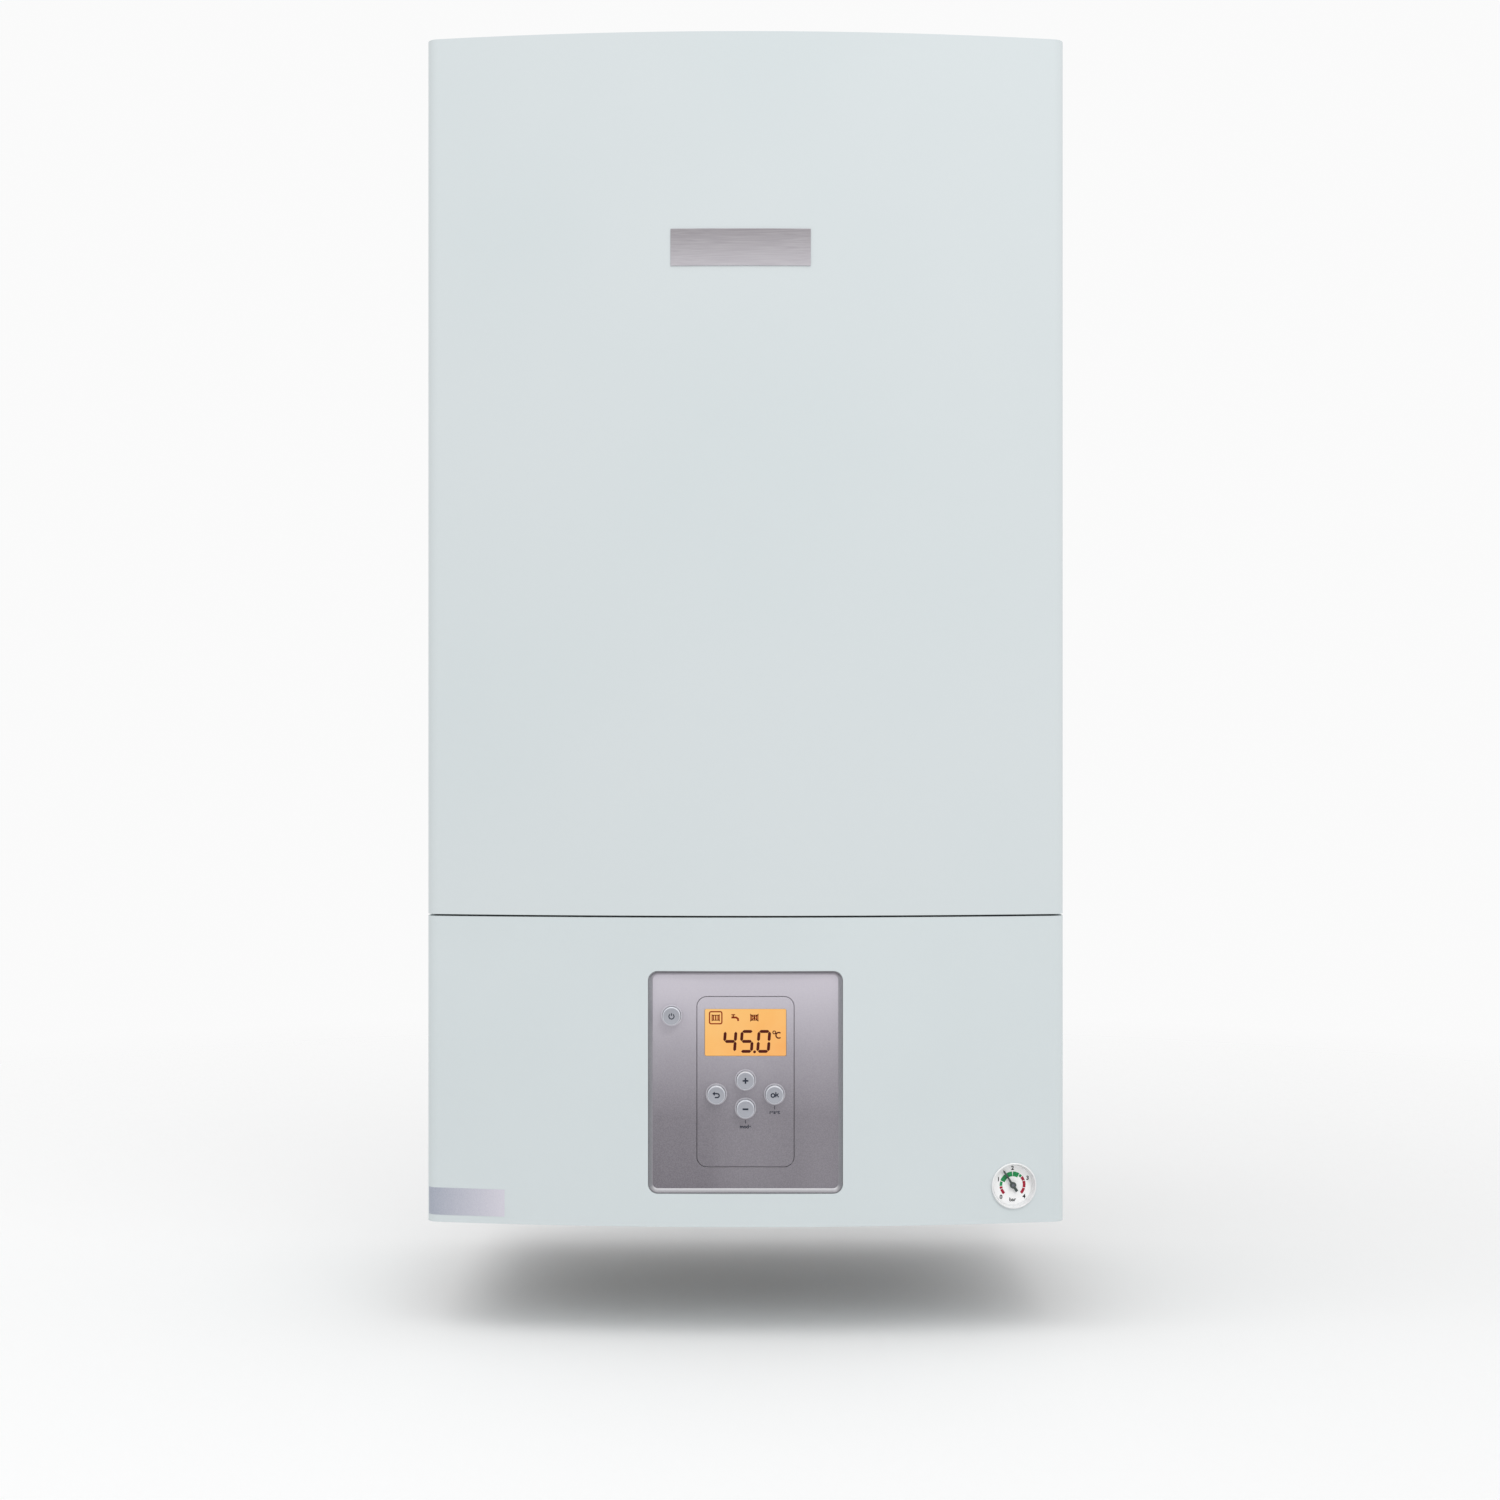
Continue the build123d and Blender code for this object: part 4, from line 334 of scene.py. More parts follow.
# %% Plastics, rubber and ceramic
finish("pa_glass_filled_black", "#1d1e20", "#17181a", 25, (0.45, 0.6), 0.5, 0.02)
wear("pa_glass_filled_black", "sump", "fan_motor", "venturi", "pump_motor", "cable_gland", "control_box")
finish("rubber_black_and_bore_shade", "#19191b", "#151517", 15, (0.6, 0.72), 0.6, 0.02)
wear("rubber_black_and_bore_shade", "vessel_hose")
finish("pp_moulded_grey", "#9a9da1", "#8f9296", 30, (0.38, 0.5), 0.9, 0.012)
wear("pp_moulded_grey", "condensate_trap", "diverter_motor")
finish("pa_moulded_blue", "#2b54a6", "#264b97", 10, (0.34, 0.46), 0.5, 0.01)
wear("pa_moulded_blue", "filling_knob")
finish("steatite_glazed", "#e9e6dc", "#e2ddd0", 6, (0.12, 0.2), 1.5, 0.01, Coat_Weight=0.4)
wear("steatite_glazed", "electrodes")
finish("abs_gloss_white", "#eceded", "#e8e9ea", 12, (0.2, 0.28), 0.8, 0.003)
wear("abs_gloss_white", "gauge_housing")
finish("dial_card_white", "#fdfdfd", "#fafafa", 9, (0.5, 0.6), 0.3, 0.002)
wear("dial_card_white", "gauge_dial")
finish("aluminium_painted_slate", "#3c4a47", "#35423f", 4, (0.4, 0.5), 0.3, 0.002)
wear("aluminium_painted_slate", "gauge_needle")


def circuit_board(name):
    """Green solder mask over copper tracks: a brick pattern gives runs of track and their gaps."""
    tree, place = new_material(name)
    flat = add(tree, "ShaderNodeMapping", {"Rotation": (radians(90), 0, 0)}, {"Vector": place})
    tracks = add(tree, "ShaderNodeTexBrick", {"Scale": 1.0, "Brick Width": 9 * MM, "Row Height": 1.8 * MM,
                                              "Mortar Size": 0.35 * MM}, {"Vector": flat}).outputs["Fac"]
    colour = fade(tree, tracks, 0.0, 1.0, "#14562c", "#0d3f20")
    skin(tree, {"Roughness": 0.3}, {"Base Color": colour}, tracks, 0.03)


circuit_board("fr4_solder_mask_green")
wear("fr4_solder_mask_green", "display_board", "main_board")

# %% [markdown]
# The gauge's window is a thin disc of clear acrylic. Real light passes through it twice; a
# renderer would darken the dial behind refracting glass, so the window is a mix of plain
# transparency and a mirror that only shows at grazing angles, as thin clear plastic does. The
# mirror is left out where light leaves the disc, so that the dial below gets its full share.

# %% The gauge's window
ACRYLIC_IOR = 1.49


def clear_window(name):
    """Plain transparency, with a mirror on the side where light comes in."""
    tree = new_material(name)[0]
    clear = add(tree, "ShaderNodeBsdfTransparent", {"Color": "#ffffff"})
    mirror = add(tree, "ShaderNodeBsdfGlossy", {"Roughness": 0.04})
    edge = add(tree, "ShaderNodeFresnel", {"IOR": ACRYLIC_IOR})
    leaving = add(tree, "ShaderNodeNewGeometry").outputs["Backfacing"]
    entering = add(tree, "ShaderNodeMapRange", {"To Min": 0.6, "To Max": 0.0}, {"Value": leaving})
    share = add(tree, "ShaderNodeMath", {"operation": "MULTIPLY"}, {0: edge, 1: entering})
    mixed = add(tree, "ShaderNodeMixShader", links={0: share, 1: clear, 2: mirror})
    add(tree, "ShaderNodeOutputMaterial", links={"Surface": mixed})


clear_window("acrylic_clear")
wear("acrylic_clear", "gauge_lens")

# %% [markdown]
# The camera looks straight at the boiler from a step and a half away, level with the middle of
# the picture. A lens a little longer than usual keeps the lines of the casing calm.

# %% Camera
PICTURE = 1500  # pixels each way
SENSOR = 36.0  # millimetres wide
FOCAL = 56.1  # millimetres
CAMERA_AWAY = 1.45  # metres in front of the cover's crown
CAMERA_ASIDE, CAMERA_RISE = 2.8 * MM, 296 * MM  # right of the middle, and above the console's foot
crown_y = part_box("front_cover")[0].y
bottom_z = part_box("console")[0].z
camera_data = bpy.data.cameras.new("camera")
camera_data.lens, camera_data.sensor_width = FOCAL, SENSOR
camera = bpy.data.objects.new("camera", camera_data)
bpy.context.collection.objects.link(camera)
camera.location = (CAMERA_ASIDE, crown_y - CAMERA_AWAY, bottom_z + CAMERA_RISE)
camera.rotation_euler = (radians(90), 0, 0)
bpy.context.scene.camera = camera
print("one pixel on the crown is", round(SENSOR / FOCAL * CAMERA_AWAY / PICTURE / MM, 4), "mm")

# %% [markdown]
# The boiler hangs in the air over a white floor, which catches its soft shadow. Further out the
# floor fades into the white world, so that no edge shows; from below it is clear, which leaves
# the view from under the boiler free.

# %% Floor
FLOOR_DROP = 70 * MM  # below the console's foot
FLOOR_SIZE = 40  # metres each way
FLOOR_PAINT = "#f1f1f1"  # what the floor sends back to the boiler
FLOOR_SHOWN = "#ffffff"  # and to the camera alone, so that open floor shows as white
FLOOR_FADE = (0.7, 1.5)  # metres from the middle: paint up to the first, world from the second


def floor_paint(name):
    """White paint that fades into the white world further out, and is clear from below."""
    tree, place = new_material(name)
    seen = add(tree, "ShaderNodeLightPath").outputs["Is Camera Ray"]
    level = add(tree, "ShaderNodeMix", {"data_type": "RGBA", 6: FLOOR_PAINT, 7: FLOOR_SHOWN}, {0: seen})
    paint = add(tree, "ShaderNodeBsdfDiffuse", links={"Color": level.outputs[2]})
    below = add(tree, "ShaderNodeNewGeometry").outputs["Backfacing"]
    away = add(tree, "ShaderNodeVectorMath", {"operation": "LENGTH"}, {0: place}).outputs["Value"]
    faded = add(tree, "ShaderNodeMapRange", {"From Min": FLOOR_FADE[0], "From Max": FLOOR_FADE[1]},
                {"Value": away})
    unseen = add(tree, "ShaderNodeMath", {"operation": "MAXIMUM"}, {0: below, 1: faded})
    clear = add(tree, "ShaderNodeBsdfTransparent")
    mixed = add(tree, "ShaderNodeMixShader", links={0: unseen, 1: paint, 2: clear})
    add(tree, "ShaderNodeOutputMaterial", links={"Surface": mixed})


bpy.ops.mesh.primitive_plane_add(size=FLOOR_SIZE, location=(0, 0, bottom_z - FLOOR_DROP))
floor = bpy.context.object
floor.name = "floor"
floor_paint("floor_white")
floor.data.materials.append(bpy.data.materials["floor_white"])
print("floor", round(FLOOR_DROP / MM), "mm under the boiler")

# %% [markdown]
# The world is a plain white dome that gives most of the light; the camera sees it at full white,
# while the boiler gets a gentler light. A panel high on the right in front draws the shadows of the
# buttons down to the left; the floor is spared from it, so that the shadow under the boiler
# stays wide and even, drawn by the dome and by a broad panel above, a little to the left, which
# moves the shadow to the right. The levels are set so that a colour shows about as written.

# %% Light
DOME_LIGHT, DOME_SHOWN = 0.82, 0.96  # strength for the object, and for the camera
world = bpy.data.worlds.new("studio")
bpy.context.scene.world = world
world.use_nodes = True
tree = world.node_tree
tree.nodes.clear()
rays = add(tree, "ShaderNodeLightPath").outputs
seen = add(tree, "ShaderNodeMath", {"operation": "MAXIMUM"},
           {0: rays["Is Camera Ray"], 1: rays["Is Transmission Ray"]})
strength = add(tree, "ShaderNodeMapRange", {"To Min": DOME_LIGHT, "To Max": DOME_SHOWN}, {"Value": seen})
dome = add(tree, "ShaderNodeBackground", {"Color": "#ffffff"}, {"Strength": strength})
add(tree, "ShaderNodeOutputWorld", links={"Surface": dome})


def panel(name, place, target, size, power, spared=None):
    """A soft rectangular lamp that faces its target, and may spare one object its light."""
    data = bpy.data.lights.new(name, "AREA")
    data.shape, data.energy = "RECTANGLE", power
    data.size, data.size_y = size
    lamp = bpy.data.objects.new(name, data)
    bpy.context.collection.objects.link(lamp)
    lamp.location = place
    lamp.rotation_euler = (Vector(target) - Vector(place)).to_track_quat("-Z", "Y").to_euler()
    if spared:
        group = bpy.data.collections.new(name + "_receivers")
        group.objects.link(spared)
        group.collection_objects[0].light_linking.link_state = "EXCLUDE"
        lamp.light_linking.receiver_collection = group


panel("key", (1.35, -2.3, 2.0), (0, crown_y, bottom_z + 0.37), (0.7, 0.7), 24, spared=floor)
panel("sky", (-0.6, -1.2, 2.2), (0, -0.15, -0.7), (3.8, 1.4), 21)
bpy.context.scene.view_settings.view_transform = "Standard"
print("lamps:", [lamp.name for lamp in bpy.data.lights])

# %% [markdown]
# Printing and thin plates lie on flat, dished or bowed faces. They are drawn once in flat
# millimetres, as strips and polygons, and then laid on a surface: a function that takes a
# place on the drawing and a height above the face, and gives the point in space. The same
# drawing tools so serve the display, the buttons, the dial and the plates.

# %% Strokes and outlines
def ribbon(points, width, closed=False):
    """A stroke of even width along points, mitred at its corners, as a strip of quads."""
    path = [Vector(point) for point in points]
    count = len(path)
    corners = []
    for place, point in enumerate(path):
        first, last = (not closed and place == 0), (not closed and place == count - 1)
        ahead = point - path[place - 1] if last else path[(place + 1) % count] - point
        behind = ahead if first else point - path[place - 1]
        ahead, behind = ahead.normalized(), behind.normalized()
        along = (ahead + behind).normalized()
        mitre = 1 if first or last else max(along.dot(ahead), 0.5)
        side = Vector((-along.y, along.x)) * width / 2 / mitre
        corners += [tuple(point + side), tuple(point - side)]
    strokes = count if closed else count - 1
    wrap = 2 * count
    return corners, [(2 * i, 2 * i + 1, (2 * i + 3) % wrap, (2 * i + 2) % wrap) for i in range(strokes)]


def arc(centre, radius, start, end, steps=24):
    """Points along an arc, angles in degrees, counter-clockwise from the right."""
    angles = [radians(start + (end - start) * step / steps) for step in range(steps + 1)]
    return [(centre[0] + radius * cos(angle), centre[1] + radius * sin(angle)) for angle in angles]


def polygon(points):
    """One filled outline."""
    return list(points), [tuple(range(len(points)))]


def moved(shape, x, y):
    """The same drawing in another place."""
    return [(x + u, y + v) for u, v in shape[0]], shape[1]


print("a half turn drawn as a ribbon has", len(ribbon(arc((0, 0), 1, 0, 180), 0.1)[1]), "quads")

# %% [markdown]
# Words are set in the plain typeface that Blender brings along. A text is a curve; it is turned
# into flat faces once, and from then on it is a drawing like any other. Small print swells a
# little on its ground, so the letters are drawn somewhat bolder.

# %% Letters
def lettering(words, size, weight=0.1):
    """Words in the plain built-in typeface, centred and made bolder, sizes in millimetres."""
    curve = bpy.data.curves.new("words", "FONT")
    curve.body, curve.size, curve.align_x, curve.align_y = words, size, "CENTER", "CENTER"
    curve.offset = weight
    carrier = bpy.data.objects.new("words", curve)
    flat = bpy.data.meshes.new_from_object(carrier)
    drawing = [tuple(v.co.xy) for v in flat.vertices], [tuple(face.vertices) for face in flat.polygons]
    bpy.data.objects.remove(carrier)
    bpy.data.curves.remove(curve)
    bpy.data.meshes.remove(flat)
    return drawing


print("the word bar is drawn with", len(lettering("bar", 3.2)[1]), "faces")

# %% [markdown]
# A piece is a mesh in the scene that rides on its body, with a slot that says what it is made
# of. Meshes come from many tools, and all of them end here, in the same few lines.

# %% Pieces
def placed(name, mesh, body):
    """Puts a finished mesh into the scene as a piece that rides on its body."""
    mesh.name = name
    piece = bpy.data.objects.new(name, mesh)
    bpy.context.collection.objects.link(piece)
    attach(piece, body)
    return piece


def finished(mesh, name, material, body, smooth=False):
    """Turns a bmesh into a piece with a material."""
    bmesh.ops.recalc_face_normals(mesh, faces=mesh.faces[:])
    for face in mesh.faces:
        face.smooth = smooth
    data = bpy.data.meshes.new(name)
    mesh.to_mesh(data)
    mesh.free()
    data.materials.append(bpy.data.materials[material])
    return placed(name, data, body)


# %% [markdown]
# A drawing becomes a piece when it gets a thickness and is laid on its surface. It is made a
# closed skin: an open sheet would show its back, and flicker where it touches the face. The
# simplest surface is a flat face with an origin, a right and an up.

# %% Laying a drawing on a surface
def raised(mesh, faces, shift):
    """Gives faces a thickness: a copy of them, moved by the shift, and walls between the two."""
    made = bmesh.ops.extrude_face_region(mesh, geom=faces, use_keep_orig=True)["geom"]
    for part in made:
        if isinstance(part, bmesh.types.BMVert):
            part.co += shift


def lay(name, shapes, surface, ink, body, height=0.04, cuts=0):
    """Lays drawings on a surface as a closed skin of the given height in millimetres."""
    mesh = bmesh.new()
    for corners, faces in shapes:
        made = [mesh.verts.new((x, y, 0)) for x, y in corners]
        for face in faces:
            mesh.faces.new([made[corner] for corner in face])
    if cuts:
        bmesh.ops.subdivide_edges(mesh, edges=mesh.edges[:], cuts=cuts, use_grid_fill=True)
    raised(mesh, mesh.faces[:], Vector((0, 0, -1)))
    for vert in mesh.verts:
        vert.co = surface(vert.co.x, vert.co.y, height if vert.co.z > -0.5 else -height)
    return finished(mesh, name, ink, body)


def flat_face(origin, right=Vector((1, 0, 0)), up=Vector((0, 0, 1))):
    """A flat surface: drawings are placed from its origin."""
    out = right.cross(up)
    return lambda x, y, height: origin + (right * x + up * y + out * height) * MM


print("a flat face takes (1, 2) to", *(round(c, 4) for c in flat_face(Vector((0, 0, 0)))(1, 2, 0)))

# %% [markdown]
# The casing's front is a shallow bow between two rolled edges. A plate glued on it follows the
# bow, so its surface function works out how far back the sheet lies at each place.

# %% The bowed front as a surface
BOW = 18 * MM  # rise of the crown over the side edges
EDGE = 8 * MM  # radius of the rolled edges
half_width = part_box("console")[1].x
bow_radius = (half_width ** 2 + BOW ** 2) / (2 * BOW)
edge_x = half_width - EDGE
edge_y = crown_y + bow_radius - sqrt((bow_radius - EDGE) ** 2 - edge_x ** 2)


def front_depth(x):
    """How far forward the casing's face is at x, rolled edges included."""
    if abs(x) < edge_x * bow_radius / (bow_radius - EDGE):
        return crown_y + bow_radius - sqrt(bow_radius ** 2 - x ** 2)
    return edge_y - sqrt(max(EDGE ** 2 - (abs(x) - edge_x) ** 2, 0))


def bowed_face(x, y, height):
    """A point over the casing's face: x across and y up in millimetres from the bottom centre."""
    step = 0.01 * MM
    slope = (front_depth(x * MM + step) - front_depth(x * MM - step)) / (2 * step)
    out = Vector((slope, -1, 0)).normalized()
    return Vector((x * MM, front_depth(x * MM), bottom_z + y * MM)) + out * height * MM


print("the face lies at", [round(front_depth(x), 4) for x in (0, edge_x)], "in the middle and at the edge")

# %% [markdown]
# The inks come first. A screen-printed ink is nearly matt and never quite even. The display's
# segments are clear liquid crystal turned dark, so the orange behind them shows as deep red.

# %% Inks
INKS = {"ink_slate": ("#2a2f3d", "#232836"), "ink_grey": ("#6a6a75", "#5f606b"),
        "ink_black": ("#1d1f23", "#17191c"), "ink_green": ("#0c9150", "#0a8749"),
        "ink_red": ("#a80f32", "#9c0c2e"), "crystal_dark_red": ("#470c00", "#520f00"),
        "crystal_faint_red": ("#8a2c03", "#963507")}
for name, (first, second) in INKS.items():
    finish(name, first, second, 3, (0.45, 0.6), 0.2, 0.002, Specular_IOR_Level=0.2)
print("inks:", ", ".join(INKS))

# %% [markdown]
# On the cover sits a small brushed plate, left bare here. It is cut from 0.6 mm aluminium and
# glued to the bow, so its middle stands further forward than its ends. At the console's lower
# left corner, a bare strip of silver film runs round onto the rolled edge. Both carry a painted
# reflection: a satin tone that drifts from one end to the other, drawn along one axis of the object.

# %% Satin skins for the plate and the film
def graded(name, axis, span, first, last, grain, stretch, metallic):
    """A satin metal skin with a painted reflection: its tone drifts evenly over a span of millimetres along
    an axis.
    """
    tree, place = new_material(name)
    along = add(tree, "ShaderNodeSeparateXYZ", links={"Vector": place}).outputs[axis]
    painted_reflection = fade(tree, along, span[0] * MM, span[1] * MM, first, last)
    lines = noise(tree, place, grain, 2.0, stretch)
    colour = fade(tree, lines, *NOISE_SPAN, painted_reflection, "#ffffff", 0.0, 0.12)
    skin(tree, {"Metallic": metallic, "Roughness": 0.38}, {"Base Color": colour}, lines, 0.004)


PLATE = (-46.5, 40.5, 596.5, 619.5)  # left, right, foot and top in millimetres from the bottom centre
FILM = (-199, -150.5, 4.5, 21.5)  # the same four for the film
foot_z = bottom_z / MM
# painted reflection: the plate's tone drifts from its foot to its top
graded("aluminium_brushed", "Z", (foot_z + PLATE[2], foot_z + PLATE[3]), "#c2bec4", "#9b969b", 0.4,
       (60, 1, 1), 0.7)
# painted reflection: the film's tone drifts from its left end to its right
graded("film_silver", "X", FILM[:2], "#a3a9b8", "#d6d3de", 0.6, (1, 1, 1), 0.4)
print("the plate is", PLATE[1] - PLATE[0], "by", PLATE[3] - PLATE[2], "mm")

# %% [markdown]
# A rectangle bends only where it has edges, so both are cut into narrow columns before they are
# laid on the bow. The plate is blanked and tumbled, which rounds its edges and gives it a fine
# bright line all round; the film is too thin for that.

# %% Bare plate and bare film
PLATE_THICK, FILM_THICK = 0.6, 0.08


def strip(left, right, foot, top, columns):
    """A rectangle divided into columns, so that it can bend."""
    xs = [left + (right - left) * step / columns for step in range(columns + 1)]
    corners = [(x, z) for x in xs for z in (foot, top)]
    return corners, [(2 * i, 2 * i + 2, 2 * i + 3, 2 * i + 1) for i in range(columns)]


def soften(piece, width):
    """Rounds the piece's sharp edges, as blanking and tumbling leave them."""
    mesh = bmesh.new()
    mesh.from_mesh(piece.data)
    edges = [edge for edge in mesh.edges if len(edge.link_faces) == 2]
    sharp = [edge for edge in edges if edge.calc_face_angle() > radians(50)]
    bmesh.ops.bevel(mesh, geom=sharp, offset=width * MM, segments=2, profile=0.5, affect="EDGES")
    mesh.to_mesh(piece.data)
    mesh.free()


plate = lay("cover_plate", [strip(*PLATE, 24)], bowed_face, "aluminium_brushed", "front_cover",
            PLATE_THICK)
soften(plate, 0.2)
lay("corner_film", [strip(*FILM, 40)], bowed_face, "film_silver", "console", FILM_THICK)
print("plate and film laid on the bow")

# %% [markdown]
# The display shows a plain temperature in seven-segment digits, slanted by four degrees as
# such digits are. Each segment is a bar with pointed ends; the gaps between the bars are about
# 0.2 mm.

# %% Seven-segment digits
SLANT = tan(radians(4))
SEGMENTS = {"0": "abcdef", "4": "bcfg", "5": "acdfg"}
GAP = 0.12  # how much a segment is shortened at each end


def slanted(shape):
    """Leans a drawing to the right, the higher the more."""
    return [(x + y * SLANT, y) for x, y in shape[0]], shape[1]


def segment(start, end, width):
    """A bar with pointed ends, a little short of both of its ends."""
    start, end = Vector(start), Vector(end)
    along = (end - start).normalized()
    side = Vector((-along.y, along.x)) * width / 2
    start, end = start + along * GAP, end - along * GAP
    tip = along * width / 2
    outline = (start, start + tip - side, end - tip - side, end, end - tip + side, start + tip + side)
    return polygon([tuple(corner) for corner in outline])


def digit(character, left, foot, width=6.6, height=12.4, stroke=1.85):
    """A seven-segment digit with its lower left corner at left, foot."""
    right, middle, top = left + width, foot + height / 2, foot + height
    ends = {"a": ((left, top), (right, top)), "b": ((right, middle), (right, top)),
            "c": ((right, foot), (right, middle)), "d": ((left, foot), (right, foot)),
            "e": ((left, foot), (left, middle)), "f": ((left, middle), (left, top)),
            "g": ((left, middle), (right, middle))}
    return [slanted(segment(*ends[letter], stroke)) for letter in SEGMENTS[character]]


print("segments of each digit:", SEGMENTS)

# %% [markdown]
# The reading is 45.0 degrees Celsius, a usual flow temperature. The point sits low between the
# last two digits, and the small letter follows the degree sign.

# %% The reading on the display
DIGITS_FOOT = -11.8  # all places on the display in millimetres from its middle
DIGITS = (("4", -12.6), ("5", -2.1), ("0", 8.4))  # each with its left edge
display_face = flat_face(Vector((display_centre.x, display_low.y, display_centre.z)))


def display_piece(name, shapes, ink):
    """Lays drawings on the display."""
    lay(name, shapes, display_face, ink, "console")


digits = [bar for character, left in DIGITS for bar in digit(character, left, DIGITS_FOOT)]
decimal_point = [slanted(polygon(arc((6.5, -12.1), 0.9, 0, 345, 12)))]
degree = [ribbon(arc((17.9, 0.0), 0.9, 0, 345, 12), 0.6, True),
          ribbon(arc((20.7, -1.8), 1.75, 50, 310, 16), 0.85)]
display_piece("display_digits", digits + decimal_point + degree, "crystal_dark_red")
print("display drawn with", len(digits), "segments")

# %% [markdown]
# Above the digits stand three symbols in fainter crystals: a boxed radiator, a tap, and a
# crossed-out radiator. Such shapes are etched in one tone, so plain strokes say it all.

# %% Symbols on the display
def line(start, end, width):
    """A straight stroke."""
    return ribbon([start, end], width)


def radiator(x, y):
    """A small radiator: three panels between two rails, on two feet."""
    panels = [line((x + step * 1.5, y - 1.7), (x + step * 1.5, y + 1.7), 0.8) for step in (-1, 0, 1)]
    rails = [line((x - 2.3, y + side * 1.55), (x + 2.3, y + side * 1.55), 0.5) for side in (-1, 1)]
    feet = [line((x + side * 2.3, y - 2.2), (x + side * 2.3, y + 2.1), 0.5) for side in (-1, 1)]
    return panels + rails + feet


def rounded(left, right, foot, top, radius):
    """The outline of a rectangle with round corners."""
    centres = ((right - radius, top - radius), (left + radius, top - radius),
               (left + radius, foot + radius), (right - radius, foot + radius))
    return [point for place, centre in enumerate(centres)
            for point in arc(centre, radius, 90 * place, 90 * place + 90, 4)]


boxed = [ribbon(rounded(-22.4, -14.7, 5.4, 12.9, 1.0), 0.8, True)] + radiator(-18.55, 9.15)
display_piece("display_box", boxed, "crystal_faint_red")
tap = [ribbon([(-8.8, 9.3), (-5.8, 9.3), (-4.7, 8.5), (-4.5, 7.1)], 1.2),
       line((-7.6, 9.3), (-7.6, 11.0), 0.8), line((-8.8, 11.0), (-6.4, 11.0), 0.7)]
crossed = radiator(5.5, 9.2) + [line((2.9, 6.9), (8.1, 11.5), 0.45), line((2.9, 11.5), (8.1, 6.9), 0.45)]
display_piece("display_symbols", tap + crossed, "crystal_faint_red")
print("symbols drawn with", len(boxed + tap + crossed), "strokes")

# %% [markdown]
# Each button's symbol lies in the dish of its cap, a hollow struck with a radius of 22 mm. The
# symbols are generic signs. Two fine ticks and two words are printed on the insert below.

# %% Symbols on the buttons
DISH_RADIUS, DISH_DEPTH = 22.0, 0.5
caps = {name: (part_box(name)[0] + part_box(name)[1]) / 2 for name in button_names}
cap_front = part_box("plus_button")[0].y


def dished_face(name):
    """The hollow face of a cap: places are given from its middle."""
    middle = caps[name]

    def surface(x, y, height):
        """The point at that height over the hollow."""
        sink = DISH_DEPTH - DISH_RADIUS + sqrt(DISH_RADIUS ** 2 - x ** 2 - y ** 2)
        return Vector((middle.x + x * MM, cap_front + (sink - height) * MM, middle.z + y * MM))
    return surface


turned_back = [(-1.3, 0.85), (0.6, 0.85)] + arc((0.6, -0.35), 1.2, 80, -80, 10) + [(-0.9, -1.55)]
letter_k = [line((0.75, -1.35), (0.75, 1.8), 0.7), line((1.05, -0.2), (2.35, 0.95), 0.65),
            line((1.45, 0.1), (2.45, -1.35), 0.65)]
symbols = {
    "plus_button": [line((-1.8, 0), (1.8, 0), 1.0), line((0, -1.8), (0, -0.5), 1.0),
                    line((0, 0.5), (0, 1.8), 1.0)],
    "minus_button": [line((-1.8, 0), (1.8, 0), 1.1)],
    "back_button": [ribbon(turned_back, 0.8), polygon([(-2.5, 0.85), (-0.9, -0.45), (-0.9, 2.15)])],
    "ok_button": [ribbon(arc((-1.1, -0.25), 1.1, 0, 345, 20), 0.75, True)] + letter_k,
    "power_button": [ribbon(arc((0, -0.15), 1.6, 125, 415, 20), 0.6), line((0, 0.2), (0, 1.85), 0.6)],
}
for name, shapes in symbols.items():
    lay(name + "_sign", shapes, dished_face(name), "ink_slate", name, cuts=2)
print("symbols on", len(symbols), "buttons")

# %% Words and ticks on the insert
COLLAR_RISE = 1.0 * MM  # the collars stand proud of the insert
TICK_DROP, TICK_LENGTH = 7.4, 2.2  # under the middle of its button
insert_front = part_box("display_insert")[0].y + COLLAR_RISE
insert_face = flat_face(Vector((0, insert_front, 0)))
printing = []
for name, word, word_drop in (("minus_button", "mode", 4.2), ("ok_button", "reset", 4.0)):
    x = caps[name].x / MM
    top = caps[name].z / MM - TICK_DROP
    printing.append(line((x, top), (x, top - TICK_LENGTH), 0.35))
    printing.append(moved(lettering(word, 3.1), x, top - word_drop))
lay("insert_printing", printing, insert_face, "ink_slate", "console", 0.03)
print("printed under two buttons at", round(top, 1), "mm")

# %% [markdown]
# The dial is printed on a white card. Pressure runs from 0 to 4 bar over three quarters of a
# turn. The gauge's axis leans a little with the bow of the casing, so both the card and the
# needle take their place and their direction from the joint of the needle.

# %% The gauge's scale
def joint(name):
    """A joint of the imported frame, by its name."""
    return [item for item in frame["joints"] if item["name"] == name][0]


DIAL_DEPTH = 3.2  # the card lies this far behind the casing's face, square to it
NEEDLE_DEPTH = 1.38  # and the needle's blade this far
TOP_PRESSURE = 4  # bar, at the end of the scale
REST_PRESSURE = 1.5  # bar, where the needle stands
pivot, spin = Vector(joint("gauge_pointer")["pos_m"]), Vector(joint("gauge_pointer")["axis"])
dial_right = Vector((-spin.y, spin.x, 0)).normalized()
dial_face = flat_face(pivot - spin * DIAL_DEPTH * MM, dial_right)
hub_face = flat_face(pivot - spin * NEEDLE_DEPTH * MM, dial_right)


def bar_angle(pressure):
    """Where a pressure stands on the dial, in degrees counter-clockwise from the right."""
    return 225 - 270 * pressure / TOP_PRESSURE


def on_dial(pressure, reach):
    """The place at that distance from the middle, towards a pressure."""
    angle = radians(bar_angle(pressure))
    return reach * cos(angle), reach * sin(angle)


print("dial turned by", round(degrees(asin(dial_right.y)), 2), "degrees")

# %% [markdown]
# Thin bands mark the range, red at both ends and green between, cut by narrow gaps, and a
# broader green band shows where the boiler should stand. The needle's blade is stamped thin;
# its dark paint makes it 1.1 mm wide to the eye.

